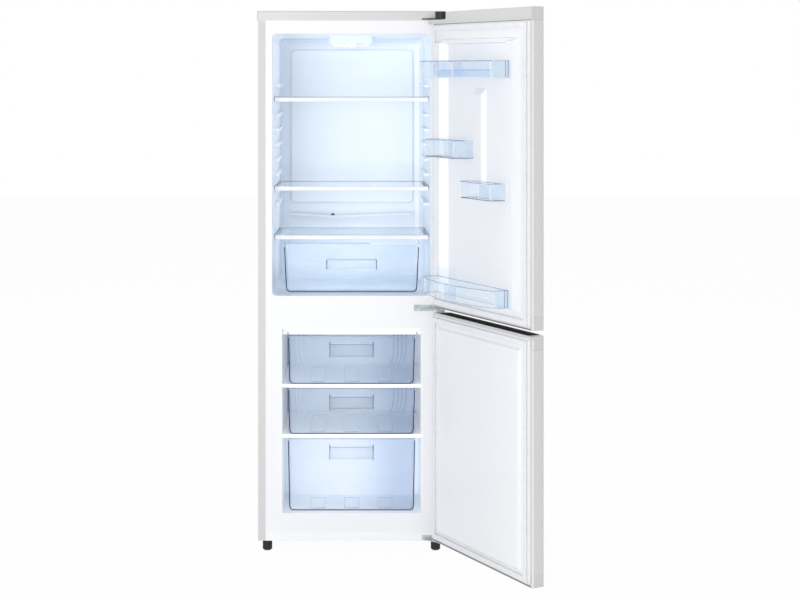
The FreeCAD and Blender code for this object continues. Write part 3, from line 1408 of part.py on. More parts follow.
def condenser():
    """A tube that runs to and fro, wires across it on both sides, and four brackets that hold it off the back."""
    half, low, high = coil_span()
    pitch = (high - low) / (COIL_RUNS - 1)
    bend = min(PIPE_BEND, pitch * 0.45, COIL_GAP * 0.8)
    points = [V(x, COIL_Y, z) for x, z in serpentine(half, low, high, COIL_RUNS)]
    tail = V(-half, COIL_Y, ROOM_CEILING + PIPE_BEND)
    end = V(points[-1].x, CABINET_DEPTH, points[-1].z)
    coil = pipe([tail] + points + [end], COIL_TUBE, bend)
    solids = [coil]
    reach = COIL_TUBE + COIL_WIRE + COIL_FIT
    for count in range(COIL_WIRES):
        x = (half - 2 * bend) * (2 * count / (COIL_WIRES - 1) - 1)
        for side in (-1, 1):
            y = COIL_Y + side * reach
            solids.append(rod(COIL_WIRE, V(x, y, low - WIRE_OVERRUN), V(x, y, high + WIRE_OVERRUN)))
    for x in (-half * 0.8, half * 0.8):
        for z in (low + pitch * 1.5, high - pitch * 1.5):
            solids.append(
                block(
                    x - BRACKET_WIDTH / 2, x + BRACKET_WIDTH / 2, CABINET_DEPTH, COIL_Y - reach - COIL_WIRE - COIL_FIT,
                    z - BRACKET_HEIGHT / 2, z + BRACKET_HEIGHT / 2,
                )
            )
    return Part.makeCompound(solids)


def filter_drier():
    base = V(DRIER_X, PIPE_Y, BASE_TOP + DRIER_ABOVE_BASE)
    body = rod(DRIER_RADIUS, base, base + UP * DRIER_LENGTH)
    rims = [edge for edge in body.Edges if edge.Closed and edge.BoundBox.ZMax - edge.BoundBox.ZMin < NEAR]
    return body.makeChamfer(DRIER_RADIUS / 2, rims)


def refrigerant_pipes(shell):
    """Discharge and suction pipes of the compressor, and the drier's inlet and capillary."""
    half = coil_span()[0]
    ceiling = ROOM_CEILING - SHEET
    out = COMPRESSOR_BOTTOM + DISCHARGE_HEIGHT
    back = COMPRESSOR_BOTTOM + SUCTION_HEIGHT
    wall = COMPRESSOR_RADIUS - LINER_WALL
    discharge = pipe(
        [
            V(COMPRESSOR_X, COMPRESSOR_Y + wall, out), V(COMPRESSOR_X, COIL_Y, out), V(-half, COIL_Y, out),
            V(-half, COIL_Y, ROOM_CEILING + PIPE_BEND),
        ],
        COIL_TUBE, PIPE_BEND,
    )
    suction = pipe(
        [
            V(SUCTION_X, PIPE_Y, ceiling), V(SUCTION_X, PIPE_Y, back), V(SUCTION_X, COMPRESSOR_Y, back),
            V(COMPRESSOR_X + wall, COMPRESSOR_Y, back),
        ],
        PIPE_RADIUS, PIPE_BEND / 2,
    )
    low = BASE_TOP + DRIER_ABOVE_BASE
    inlet = rod(COIL_TUBE, V(DRIER_X, PIPE_Y, low + DRIER_LENGTH), V(DRIER_X, PIPE_Y, ceiling))
    turn = low - CAPILLARY_OFFSET / 2
    aside = DRIER_X - CAPILLARY_OFFSET
    capillary = pipe(
        [V(DRIER_X, PIPE_Y, low), V(DRIER_X, PIPE_Y, turn), V(aside, PIPE_Y, turn), V(aside, PIPE_Y, ceiling)],
        CAPILLARY_RADIUS, CAPILLARY_OFFSET / 4,
    )
    return Part.makeCompound([discharge.cut(shell), suction.cut(shell), inlet, capillary])


def gland_centre():
    return V(GLAND_X, CABINET_DEPTH - SHEET * 2, BASE_TOP + GLAND_HEIGHT)


def power_inlet():
    """The gland in the base plate's rear flange where the mains cord enters."""
    centre = gland_centre()
    collar = rod(GLAND_RADIUS, centre + INWARD * SHEET, centre + INWARD * (SHEET + GLAND_LENGTH * 0.5))
    neck = rod(GLAND_RADIUS - 2, centre - INWARD * GLAND_LENGTH * 0.5, centre + INWARD * (SHEET + 1))
    bore = rod(GLAND_BORE, centre - INWARD * GLAND_LENGTH, centre + INWARD * GLAND_LENGTH)
    return joined(collar, neck).cut(bore)


def build_cabinet():
    shell = compressor()
    rail = front_rail()
    switch = door_switch()
    hinge = top_hinge()
    screws = hinge_screws()
    cold_plate = fridge_evaporator()
    drain_core = pipe(drain_path(), DRAIN_RADIUS + DRAIN_WALL, PIPE_BEND)
    switch_core = block(*box_of(switch))
    keep("side_panel_left", side_panel(-1))
    keep("side_panel_right", side_panel(1))
    keep("top_cover", top_cover())
    keep("back_panel", back_panel())
    keep("machine_room_panel", machine_room_panel())
    keep("base_plate", base_plate())
    keep("front_rail", rail)
    keep("fridge_liner", fridge_liner())
    keep("freezer_liner", freezer_liner())
    keep("cabinet_foam", cabinet_foam([rail, switch_core, hinge, cold_plate, drain_core] + screws))
    keep("fridge_evaporator", cold_plate)
    keep("drain_tube", drain_tube())
    keep("top_hinge", hinge)
    keep("top_hinge_cover", top_hinge_cover())
    keep("middle_hinge", middle_hinge())
    keep("bottom_hinge", bottom_hinge())
    keep("hinge_screws", Part.makeCompound(screws))
    keep("compressor", shell)
    keep("compressor_mounts", Part.makeCompound(compressor_mounts()))
    keep("start_relay", start_relay(shell))
    keep("drip_pan", drip_pan())
    keep("condenser", condenser())
    keep("filter_drier", filter_drier())
    keep("refrigerant_pipes", refrigerant_pipes(shell))
    keep("power_inlet", power_inlet())
    keep("door_switch", switch)
    keep("switch_plunger", switch_plunger())
    for name, side in (("left", -1), ("right", 1)):
        keep("foot_" + name, foot(side))
        keep("rear_roller_" + name, roller(side))


def box_of(shape):
    box = shape.BoundBox
    return box.XMin, box.XMax, box.YMin, box.YMax, box.ZMin, box.ZMax


def build_fridge_fittings():
    keep("control_housing", control_housing())
    keep("thermostat_knob", thermostat_knob())
    keep("lamp_lens", lamp_lens())
    keep("lamp_bulb", lamp_bulb())
    places = shelf_places()
    keep("shelf_glass_upper", shelf_glass(places["upper"]))
    keep("shelf_glass_middle", shelf_glass(places["middle"]))
    keep("crisper_cover_glass", shelf_glass(places["cover"]))
    keep("shelf_trims", Part.makeCompound([shelf_trim(level) for level in places.values()]))
    keep("crisper", crisper())


def build_freezer_fittings():
    back = FREEZER_DEPTH - DRAWER_TAPER
    shelves = [freezer_shelf(level, back) for level in (STEP_LEVEL, UPPER_EVAPORATOR)]
    keep("freezer_evaporators", Part.makeCompound(shelves))
    keep("freezer_trims", freezer_trims())
    levels = {
        "upper": (UPPER_EVAPORATOR + EVAPORATOR_SHELF, UPPER_DRAWER_HEIGHT, DRAWER_DEPTH),
        "middle": (STEP_LEVEL + EVAPORATOR_SHELF, MIDDLE_BAY - DRAWER_HEADROOM, DRAWER_DEPTH),
        "lower": (FREEZER_FLOOR, STEP_HEIGHT - DRAWER_HEADROOM, LOWER_DRAWER_DEPTH),
    }
    for name, (floor, height, depth) in levels.items():
        keep("freezer_drawer_" + name, freezer_drawer(floor + RUNNING_GAP, height - RUNNING_GAP, depth))


def build_door(name, span, forms, cores, extras, cutter):
    hollow = relief_core(cores)
    caps = door_caps(span)
    liner = door_liner(span, forms, hollow, extras)
    if cutter:
        liner = liner.cut(cutter)
    keep(name + "_door_skin", opened(door_skin(span)))
    keep(name + "_door_caps", opened(caps))
    keep(name + "_door_liner", opened(liner))
    keep(name + "_door_foam", opened(door_foam(span, hollow, caps, liner)))
    keep(name + "_door_gasket", opened(gasket(span)))


def main():
    os.makedirs("parts", exist_ok=True)
    build_cabinet()
    build_fridge_fittings()
    build_freezer_fittings()
    build_door("upper", UPPER_DOOR, upper_relief(0), upper_relief(LINER_WALL), lugs(), None)
    build_door("lower", LOWER_DOOR, lower_relief(0), lower_relief(LINER_WALL), [], groove(LOWER_DOOR))
    keep("top_bin", opened(door_bin(TOP_BIN)))
    keep("hinge_side_bin", opened(door_bin(HINGE_BIN)))
    keep("free_side_bin", opened(door_bin(FREE_BIN)))
    keep("bottom_bin", opened(joined(door_bin(LOW_BIN), guard())))
    keep("egg_tray", opened(egg_tray()))


main()
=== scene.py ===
"""Studio picture of a slim refrigerator over a bottom freezer, with both doors standing open.

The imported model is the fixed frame. This script gives every one of its pieces a finish, adds the
mouldings that are too fine for it, and sets up the floor, the lamps and the camera.
"""

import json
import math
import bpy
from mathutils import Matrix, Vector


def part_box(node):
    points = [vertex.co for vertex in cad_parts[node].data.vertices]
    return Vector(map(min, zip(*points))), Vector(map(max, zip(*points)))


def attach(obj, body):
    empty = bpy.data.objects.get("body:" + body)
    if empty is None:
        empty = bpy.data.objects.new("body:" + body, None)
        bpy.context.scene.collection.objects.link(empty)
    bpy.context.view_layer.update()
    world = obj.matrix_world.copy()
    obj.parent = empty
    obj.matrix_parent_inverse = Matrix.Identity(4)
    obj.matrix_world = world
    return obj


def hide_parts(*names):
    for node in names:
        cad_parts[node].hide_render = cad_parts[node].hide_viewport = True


bl_info = {
    "name": "Bottom Freezer Refrigerator",
    "version": (1, 0, 0),
    "blender": (4, 5, 0),
    "location": "View3D > Sidebar > Refrigerator",
    "description": "Finishes, mouldings and studio for a refrigerator with both doors open",
    "category": "Object",
}

import bmesh
import bpy
from mathutils import Matrix, Vector

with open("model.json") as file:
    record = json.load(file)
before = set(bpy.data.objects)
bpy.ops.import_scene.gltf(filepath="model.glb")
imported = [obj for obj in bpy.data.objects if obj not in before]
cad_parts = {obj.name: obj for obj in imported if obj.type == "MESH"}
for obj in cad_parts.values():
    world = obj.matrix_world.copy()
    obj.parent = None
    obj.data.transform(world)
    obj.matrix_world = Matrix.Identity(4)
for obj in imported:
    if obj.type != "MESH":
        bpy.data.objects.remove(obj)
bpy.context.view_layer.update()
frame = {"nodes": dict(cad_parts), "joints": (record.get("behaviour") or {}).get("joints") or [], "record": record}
record = frame["record"]
joints = {joint["name"]: joint for joint in frame["joints"]}

MM = 0.001
HINGE = Vector(joints["upper_door_hinge"]["pos_m"])
HINGE.z = 0
OPEN_ANGLE = math.radians(-joints["upper_door_hinge"]["range_deg"][0])
SWING = Matrix.Translation(HINGE) @ Matrix.Rotation(OPEN_ANGLE, 4, "Z") @ Matrix.Translation(-HINGE)
HALF_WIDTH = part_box("side_panel_right")[1].x
INNER_FACE = -12 * MM  # the closed door's inner face
DOOR_FRONT = INNER_FACE - 45 * MM
DYKE_TOP = INNER_FACE + 20.4 * MM

# Each bin: where it starts from the door's hinge side, its length, its reach from the door's inner face,
# the bow of its front, its height, and where its bottle stops start and end
BINS = {
    name: {
        "start": start * MM, "length": length * MM, "reach": reach * MM, "bow": bow * MM,
        "height": height * MM, "stops": tuple((u0 * MM, u1 * MM) for u0, u1 in stops),
    }
    for name, start, length, reach, bow, height, stops in (
        ("top_bin", 60, 400, 78, 0, 48, ((132, 217), (245, 302))),
        ("hinge_side_bin", 60, 168, 62, 0, 50, ((163, 220),)),
        ("free_side_bin", 267, 165, 64, 0, 46, ((367, 424),)),
        ("bottom_bin", 60, 396, 66, 34, 47, ((230, 300),)),
    )
}
BIN_CORNER = 6 * MM
EGG_TRAY_END = 397 * MM
EGG_CUP_PITCH = 42 * MM
EGG_CUP_RADIUS = 17 * MM
EGG_CUPS = 6
DRAWERS = ("freezer_drawer_upper", "freezer_drawer_middle", "freezer_drawer_lower")
SHELVES = ("shelf_glass_upper", "shelf_glass_middle", "crisper_cover_glass")


# Settings that a user would change


def colour(name, words, default):
    """A colour as it looks on a screen."""
    return bpy.props.FloatVectorProperty(
        name=name, description=words, subtype="COLOR_GAMMA", size=3, min=0, max=1, default=default
    )


def length(name, words, default):
    return bpy.props.FloatProperty(
        name=name, description=words, subtype="DISTANCE", unit="LENGTH", min=0, default=default
    )


class FridgeColours(bpy.types.PropertyGroup):
    """Colours of the refrigerator's finishes."""

    silver: colour("Silver", "Painted steel of the cabinet and doors", (0.875, 0.875, 0.877))
    silver_cap: colour("Silver caps", "Mouldings at the ends of the doors", (0.850, 0.848, 0.848))
    # The sides' silver is darker than the doors' as painted shade
    side: colour("Sides", "Painted steel of the side panels", (0.835, 0.835, 0.837))
    cover: colour("Cover", "Moulding on the cabinet's top", (0.800, 0.798, 0.798))
    liner: colour("Liner", "White plastic of the front flanges and door liners", (0.968, 0.972, 0.985))
    # Painted shade and reflected blue light of the compartments' insides
    cavity_shade: colour("Cavity", "The same plastic deep inside the compartments", (0.920, 0.950, 0.985))
    trim: colour("Trim", "Bright white edge mouldings", (0.970, 0.975, 0.988))
    seal: colour("Seal", "Door gaskets", (0.945, 0.950, 0.958))
    crisper: colour("Crisper", "Clear blue plastic of the crisper", (0.800, 0.885, 0.975))
    drawer: colour("Drawers", "Clear blue plastic of the upper freezer drawers", (0.700, 0.762, 0.838))
    # Painted shade on the right sides of the upper drawers and the lowest drawer
    drawer_shadow: colour("Drawer shadow", "Shade of the upper drawers' right side", (0.450, 0.520, 0.630))
    deep_drawer: colour("Deep drawer", "Clear plastic of the lowest freezer drawer", (0.810, 0.850, 0.915))
    deep_shadow: colour("Deep drawer shadow", "Shade of the lowest drawer's right", (0.550, 0.630, 0.750))
    bins: colour("Bins", "Clear plastic of the door bins", (0.860, 0.940, 1.0))
    egg_tray: colour("Egg tray", "Blue plastic of the egg tray", (0.800, 0.900, 1.0))
    bottle_stop: colour("Bottle stops", "Blue plastic of the bottle stops in the bins", (0.600, 0.740, 0.960))
    # The right-hand flutes' dark blue is painted shade
    flutes: colour("Flutes", "Flutes in the drawers' right-hand walls", (0.480, 0.570, 0.720))
    edge: colour("Edge", "Dark lines where clear plastic is seen edge on", (0.190, 0.250, 0.420))
    soft_edge: colour("Soft edge", "Pale lines along the rims of clear plastic", (0.560, 0.640, 0.780))
    glass_edge: colour("Glass edge", "Ground edges of the shelf glass", (0.600, 0.680, 0.730))
    glass: colour("Glass", "Shelf glass", (0.900, 0.955, 0.985))
    foam: colour("Foam", "Insulation", (0.930, 0.885, 0.700))
    black: colour("Black", "Black plastic and rubber", (0.165, 0.165, 0.170))
    copper: colour("Copper", "Refrigerant pipes", (0.780, 0.480, 0.330))
    floor: colour("Floor", "Studio floor", (1.0, 1.0, 1.0))


class FridgeSizes(bpy.types.PropertyGroup):
    """Sizes of the mouldings and of the studio."""

    rim: length("Rim", "Radius of the bead round a bin's top", 1.3 * MM)
    edge: length("Edge", "Radius of the line along a drawer's front", 1.7 * MM)
    grip: length("Grip line", "Radius of the line round a grip", 1.2 * MM)
    floor: length("Floor", "Side of the studio floor", 30.0)


def colours():
    return bpy.context.scene.fridge_colours


def sizes():
    return bpy.context.scene.fridge_sizes


# Shader maths

LIGHT_THROUGH = 0.85  # of the light that clear plastic and glass would stop

def linear(screen):
    """A screen colour as light, with its alpha."""
    return tuple(c / 12.92 if c <= 0.04045 else ((c + 0.055) / 1.055) ** 2.4 for c in screen) + (1.0,)


class Wire:
    """One output of a shader node; arithmetic on it adds Math nodes."""

    def __init__(self, shader, socket):
        self.shader = shader
        self.socket = socket

    def reckon(self, operation, first, second):
        return self.shader.node("ShaderNodeMath", {"operation": operation}, {0: first, 1: second})

    def __add__(self, other):
        return self.reckon("ADD", self, other)

    def __radd__(self, other):
        return self.reckon("ADD", other, self)

    def __sub__(self, other):
        return self.reckon("SUBTRACT", self, other)

    def __rsub__(self, other):
        return self.reckon("SUBTRACT", other, self)

    def __mul__(self, other):
        return self.reckon("MULTIPLY", self, other)

    def __rmul__(self, other):
        return self.reckon("MULTIPLY", other, self)

    def between(self, low, high):
        """0 at low, 1 at high, and smooth from one to the other."""
        settings = {"interpolation_type": "SMOOTHSTEP", "clamp": True}
        values = {"Value": self, "From Min": low, "From Max": high}
        return self.shader.node("ShaderNodeMapRange", settings, values)


class Nodes:
    """A node tree that nodes are added to."""

    def __init__(self, tree, output):
        self.tree = tree
        self.tree.nodes.clear()
        self.output = self.tree.nodes.new(output)

    def node(self, kind, settings, values, out=0):
        """Adds a node: its settings first, then a value or a link for each of its sockets."""
        node = self.tree.nodes.new(kind)
        for name, value in settings.items():
            setattr(node, name, value)
        for key, value in values.items():
            socket = node.inputs[key]
            if isinstance(value, Wire):
                self.tree.links.new(value.socket, socket)
            else:
                socket.default_value = value
        return Wire(self, node.outputs[out])

    def seen(self):
        """1 where the picture shows it, straight, mirrored or through glass; 0 where it only gives light."""
        rays = ("Is Camera Ray", "Is Glossy Ray", "Is Transmission Ray")
        straight, mirrored, through = (self.node("ShaderNodeLightPath", {}, {}, ray) for ray in rays)
        return (straight + mirrored + through).between(0.0, 1.0)

    def end(self, wire):
        self.tree.links.new(wire.socket, self.output.inputs["Surface"])


class Finish(Nodes):
    """A material's node tree, with a Principled shader at its end."""

    def __init__(self, name, **constants):
        self.material = bpy.data.materials.new(name)
        self.material.use_nodes = True
        super().__init__(self.material.node_tree, "ShaderNodeOutputMaterial")
        self.surface = self.tree.nodes.new("ShaderNodeBsdfPrincipled")
        self.end(Wire(self, self.surface.outputs[0]))
        for socket, value in constants.items():
            self.surface.inputs[socket.replace("_", " ")].default_value = value

    def place(self, scale=(1, 1, 1)):
        """Object coordinates, stretched for grain that runs one way."""
        spot = self.node("ShaderNodeTexCoord", {}, {}, "Object")
        return self.node("ShaderNodeMapping", {}, {"Vector": spot, "Scale": scale})

    def axis(self, letter):
        return self.node("ShaderNodeSeparateXYZ", {}, {0: self.place()}, letter)

    def noise(self, spot, scale, detail=3.0, roughness=0.5):
        values = {"Vector": spot, "Scale": scale, "Detail": detail, "Roughness": roughness}
        return self.node("ShaderNodeTexNoise", {}, values, "Fac")

    def cells(self, spot, scale, out="Distance"):
        return self.node("ShaderNodeTexVoronoi", {"feature": "F1"}, {"Vector": spot, "Scale": scale}, out)

    def blend(self, mask, first, second):
        """A mix of two colours: first where the mask is 0, second where it is 1."""
        return self.node("ShaderNodeMix", {"data_type": "RGBA"}, {0: mask, 6: first, 7: second}, 2)

    def shade(self, screen, mask, amount):
        """A colour that darkens by amount where the mask is 1."""
        pale = linear(screen)
        deep = tuple(part * (1 - amount) for part in pale[:3]) + (1.0,)
        return self.blend(mask, pale, deep)

    def passing(self):
        """1, less the share of the light that goes through where a shadow would fall."""
        return 1 - LIGHT_THROUGH * self.node("ShaderNodeLightPath", {}, {}, "Is Shadow Ray")

    def feed(self, **links):
        for name, wire in links.items():
            self.tree.links.new(wire.socket, self.surface.inputs[name.replace("_", " ")])

    def bump(self, height, distance, strength=1.0):
        values = {"Height": height, "Distance": distance, "Strength": strength}
        self.feed(Normal=self.node("ShaderNodeBump", {}, values))


# Finishes


def steel_paint(name, screen, grain=1.0):
    """Metallic paint with a fine upright brushed grain."""
    finish = Finish(name, Metallic=0.12, Coat_Weight=0.12, Coat_Roughness=0.3)
    streaks = finish.noise(finish.place((60, 60, 1.2)), 18.0, 4.0, 0.6)
    flake = finish.noise(finish.place(), 900.0, 2.0)
    finish.feed(
        Base_Color=finish.shade(screen, streaks.between(0.35, 0.75), 0.055 * grain),
        Roughness=0.50 + 0.14 * streaks,
    )
    finish.bump(streaks + 0.4 * flake, 0.00004, 0.6)
    return finish.material


def moulded(name, screen, rough=0.42, pearl=0.0):
    """Injection-moulded plastic with a faint texture."""
    finish = Finish(name, Metallic=pearl, Specular_IOR_Level=0.45)
    skin = finish.cells(finish.place(), 520.0)
    patches = finish.noise(finish.place(), 7.0, 2.0)
    finish.feed(
        Base_Color=finish.shade(screen, patches.between(0.35, 0.7), 0.02),
        Roughness=rough + 0.1 * skin,
    )
    finish.bump(skin, 0.00003, 0.5)
    return finish.material


def liner_plastic(name):
    """White sheet plastic with painted shade: it turns blue-grey deep inside the compartments."""
    finish = Finish(name, Specular_IOR_Level=0.5, Coat_Weight=0.15, Coat_Roughness=0.2)
    # Painted shade: the blend to the cavity colour follows the depth into the compartments
    depth = finish.axis("Y").between(0.0, 0.16)
    peel = finish.noise(finish.place(), 160.0, 2.0)
    drift = finish.noise(finish.place((1, 1, 0.5)), 3.5, 2.0)
    white = finish.shade(colours().liner, drift.between(0.4, 0.7), 0.012)
    deep = finish.shade(colours().cavity_shade, drift.between(0.35, 0.75), 0.05)
    finish.feed(Base_Color=finish.blend(depth, white, deep), Roughness=0.3 + 0.12 * peel)
    finish.bump(peel, 0.00008, 0.35)
    return finish.material


def clear_plastic(name, screen, alpha, cloud=0.25, front=None, shadow=None):
    """See-through moulding with faint flow lines, hazy patches and hazier front walls; light passes it.

    Towards the right it takes on the shadow colour and more alpha: painted shade on that side.
    """
    finish = Finish(name, Specular_IOR_Level=0.5, IOR=1.49, Coat_Weight=0.1, Coat_Roughness=0.05)
    flow = finish.noise(finish.place((1, 1, 3)), 9.0, 3.0)
    fine = finish.noise(finish.place(), 240.0, 2.0)
    body = alpha
    if front:
        face, haze = front
        near = 1 - finish.axis("Y").between(face + 0.022, face + 0.036)
        normal = finish.node("ShaderNodeTexCoord", {}, {}, "Normal")
        facing = finish.node("ShaderNodeSeparateXYZ", {}, {0: normal}, "Y")
        body = alpha + (haze - alpha) * near * (facing * facing).between(0.5, 0.9)
    tint = finish.shade(screen, flow.between(0.35, 0.75), 0.05)
    if shadow:
        # Painted shade: a darker colour and more alpha towards the right
        side = finish.axis("X").between(-0.02, 0.15)
        tint = finish.blend(side * 0.7, tint, linear(shadow))
        body = body + 0.10 * side
    finish.feed(
        Base_Color=tint,
        Alpha=body * (1 - cloud / 2 + cloud * flow) * finish.passing(),
        Roughness=0.06 + 0.1 * fine,
    )
    finish.bump(flow, 0.0004, 0.25)
    return finish.material


def sheet_glass(name, haze):
    """Tempered glass with a faint smear."""
    finish = Finish(name, Specular_IOR_Level=0.5, IOR=1.52)
    smear = finish.noise(finish.place(), 14.0, 3.0)
    finish.feed(
        Base_Color=finish.shade(colours().glass, smear.between(0.4, 0.7), 0.05),
        Alpha=(haze + 0.06 * smear) * finish.passing(),
        Roughness=0.02 + 0.05 * smear,
    )
    return finish.material


def seal_rubber():
    finish = Finish("seal_rubber", Specular_IOR_Level=0.35)
    bloom = finish.noise(finish.place(), 45.0, 3.0)
    finish.feed(
        Base_Color=finish.shade(colours().seal, bloom.between(0.4, 0.75), 0.05),
        Roughness=0.5 + 0.2 * bloom,
    )
    finish.bump(finish.noise(finish.place(), 700.0, 2.0), 0.00004, 0.6)
    return finish.material


def grain(scale, detail=2.0, stretch=(1, 1, 1)):
    """A pattern of noise."""
    return lambda finish: finish.noise(finish.place(stretch), scale, detail)


def pebbles(scale):
    """A pattern of cells."""
    return lambda finish: finish.cells(finish.place(), scale)


def spangle(finish):
    """The crystals of a zinc coat."""
    return finish.node("ShaderNodeSeparateColor", {}, {0: finish.cells(finish.place(), 120.0, "Color")}, 0)


def prisms(finish):
    """The ridges of a lamp cover."""
    values = {"Vector": finish.place(), "Scale": 160.0, "Distortion": 0.0}
    return finish.node("ShaderNodeTexWave", {"wave_type": "BANDS", "bands_direction": "X"}, values, "Fac")


def patterned(name, screen, pattern, dark, rough, dent=None, span=None, **constants):
    """A finish that one pattern darkens, makes rough and dents; span is the part of it that darkens."""
    finish = Finish(name, **constants)
    mask = pattern(finish)
    tint = mask.between(*span) if span else mask
    finish.feed(Base_Color=finish.shade(screen, tint, dark), Roughness=rough[0] + rough[1] * mask)
    if dent:
        finish.bump(mask, *dent)
    return finish.material


finishes = {}


def make_finishes():
    shades = colours()
    crisper_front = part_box("crisper")[0].y
    drawer_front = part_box("freezer_drawer_upper")[0].y
    leather = {"dent": (0.00006, 0.7), "span": (0.2, 0.9), "Specular_IOR_Level": 0.4}
    finishes.update(
        silver_steel=steel_paint("silver_paint", shades.silver),
        silver_plastic=moulded("silver_moulding", shades.silver_cap, 0.36, 0.2),
        side_paint=steel_paint("side_paint", shades.side),
        cover_plastic=moulded("cover_moulding", shades.cover, 0.36, 0.2),
        white_plastic=liner_plastic("liner_plastic"),
        white_steel=steel_paint("white_enamel", shades.trim, 0.3),
        white_trim=moulded("white_trim", shades.trim, 0.28),
        gasket_white=seal_rubber(),
        clear_blue=clear_plastic("crisper_plastic", shades.crisper, 0.06, front=(crisper_front, 0.30)),
        clear_drawer=clear_plastic(
            "drawer_plastic", shades.drawer, 0.05, front=(drawer_front, 0.27), shadow=shades.drawer_shadow
        ),
        clear_deep_drawer=clear_plastic(
            "deep_drawer_plastic", shades.deep_drawer, 0.05, front=(drawer_front, 0.24),
            shadow=shades.deep_shadow,
        ),
        clear_bin=clear_plastic("bin_plastic", shades.bins, 0.13),
        egg_plastic=clear_plastic("egg_tray_plastic", shades.egg_tray, 0.17),
        stop_plastic=clear_plastic("bottle_stop_plastic", shades.bottle_stop, 0.16),
        end_plastic=clear_plastic("bin_end_plastic", shades.bins, 0.34),
        # A clear moulding seen edge on looks solid
        edge_line=patterned(
            "edge_line", shades.edge, grain(12.0, 3.0, (1, 1, 3)), 0.2, (0.35, 0.1), span=(0.35, 0.75),
            Specular_IOR_Level=0.2,
        ),
        soft_line=clear_plastic("soft_line", shades.soft_edge, 0.45, 0.1),
        glass_edge=clear_plastic("glass_edge", shades.glass_edge, 0.5, 0.1),
        flute_blue=clear_plastic("flute_blue", shades.flutes, 0.7, 0.1),
        # The control unit's blue-grey is painted shade, the tone of the ceiling round it
        unit_plastic=moulded("unit_plastic", (0.865, 0.900, 0.950)),
        cap_line=moulded("cap_line", (0.70, 0.70, 0.71), 0.45),
        # Painted shadow, for the dark strips at the edges of the doors' inner faces
        cap_shadow=moulded("cap_shadow", (0.46, 0.45, 0.44), 0.6),
        # Darker than the black plastic: painted shade in the gap between the doors
        grip_black=moulded("grip_black", (0.085, 0.080, 0.080), 0.8),
        shelf_glass=sheet_glass("shelf_glass", 0.16),
        cover_glass=sheet_glass("cover_glass", 0.50),
        lens=patterned(
            "lamp_cover", (0.960, 0.968, 0.985), prisms, 0.06, (0.2, 0.1), (0.0003, 0.6),
            Specular_IOR_Level=0.5, Alpha=0.82,
        ),
        bulb=patterned(
            "bulb_glass", (0.985, 0.975, 0.930), grain(420.0), 0.06, (0.15, 0.2),
            Specular_IOR_Level=0.6, Alpha=0.85,
        ),
        insulation=patterned(
            "rigid_foam", shades.foam, pebbles(260.0), 0.25, (0.8, 0.15), (0.0004, 0.8), (0.1, 0.8),
            Specular_IOR_Level=0.2,
        ),
        black_plastic=patterned("black_moulding", shades.black, pebbles(700.0), 0.25, (0.5, 0.12), **leather),
        black_rubber=patterned("black_rubber", shades.black, pebbles(700.0), 0.25, (0.68, 0.12), **leather),
        # Stoving paint, on the compressor, the condenser and the top hinge
        black_steel=patterned(
            "black_enamel", (0.120, 0.120, 0.124), grain(320.0), 0.2, (0.36, 0.16), (0.00008, 0.7),
            (0.3, 0.7), Specular_IOR_Level=0.5, Coat_Weight=0.25, Coat_Roughness=0.3,
        ),
        zinc_steel=patterned(
            "zinc_plate", (0.740, 0.772, 0.790), spangle, 0.16, (0.42, 0.18), (0.00003, 0.4),
            Metallic=0.35, Specular_IOR_Level=0.4,
        ),
        aluminium=patterned(
            "pressed_aluminium", (0.860, 0.865, 0.870), grain(12.0, 3.0, (2, 90, 90)), 0.1, (0.3, 0.15),
            (0.00003, 0.5), Metallic=0.9,
        ),
        copper=patterned(
            "copper_tube", shades.copper, grain(30.0, 4.0), 0.3, (0.24, 0.25), (0.00005, 0.4), (0.35, 0.75),
            Metallic=0.95,
        ),
    )


# Shapes


def piece(name, shape, body, finish, stands_for=()):
    """Makes a finished object of a bmesh or a mesh: its place is in its mesh, and it rides on a body."""
    if isinstance(shape, bmesh.types.BMesh):
        mesh = bpy.data.meshes.new(name)
        shape.to_mesh(mesh)
        shape.free()
    else:
        mesh = shape
        mesh.name = name
    made = bpy.data.objects.new(name, mesh)
    bpy.context.scene.collection.objects.link(made)
    mesh.materials.clear()
    mesh.materials.append(finishes[finish])
    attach(made, body)
    if stands_for:
        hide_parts(*stands_for)
    return made


def smooth(mesh, degrees=35):
    """Smooth faces with their sharp edges kept."""
    for face in mesh.polygons:
        face.use_smooth = True
    mesh.set_sharp_from_angle(angle=math.radians(degrees))


def add_block(form, low, high, bevel=0.0, segments=2):
    """A box between two corners in a bmesh, with its edges rounded."""
    low, high = Vector(low), Vector(high)
    made = bmesh.ops.create_cube(form, size=1)["verts"]
    bmesh.ops.scale(form, vec=high - low, verts=made)
    bmesh.ops.translate(form, vec=(low + high) / 2, verts=made)
    if bevel:
        edges = list({edge for vert in made for edge in vert.link_edges})
        bmesh.ops.bevel(
            form, geom=edges, offset=bevel, segments=segments, affect="EDGES", profile=0.5, material=-1
        )


def tube(points, radius, closed=False):
    """A round bead along a line of points, as a mesh."""
    curve = bpy.data.curves.new("line", "CURVE")
    curve.dimensions = "3D"
    spline = curve.splines.new("POLY")
    spline.points.add(len(points) - 1)
    for spot, point in zip(spline.points, points):
        spot.co = (*point, 1)
    spline.use_cyclic_u = closed
    curve.bevel_depth = radius
    curve.bevel_resolution = 1
    curve.use_fill_caps = not closed
    holder = bpy.data.objects.new("line", curve)
    mesh = bpy.data.meshes.new_from_object(holder)
    bpy.data.objects.remove(holder)
    bpy.data.curves.remove(curve)
    return mesh


def gathered(meshes):
    """Several meshes in one bmesh."""
    form = bmesh.new()
    for mesh in meshes:
        form.from_mesh(mesh)
        bpy.data.meshes.remove(mesh)
    return form


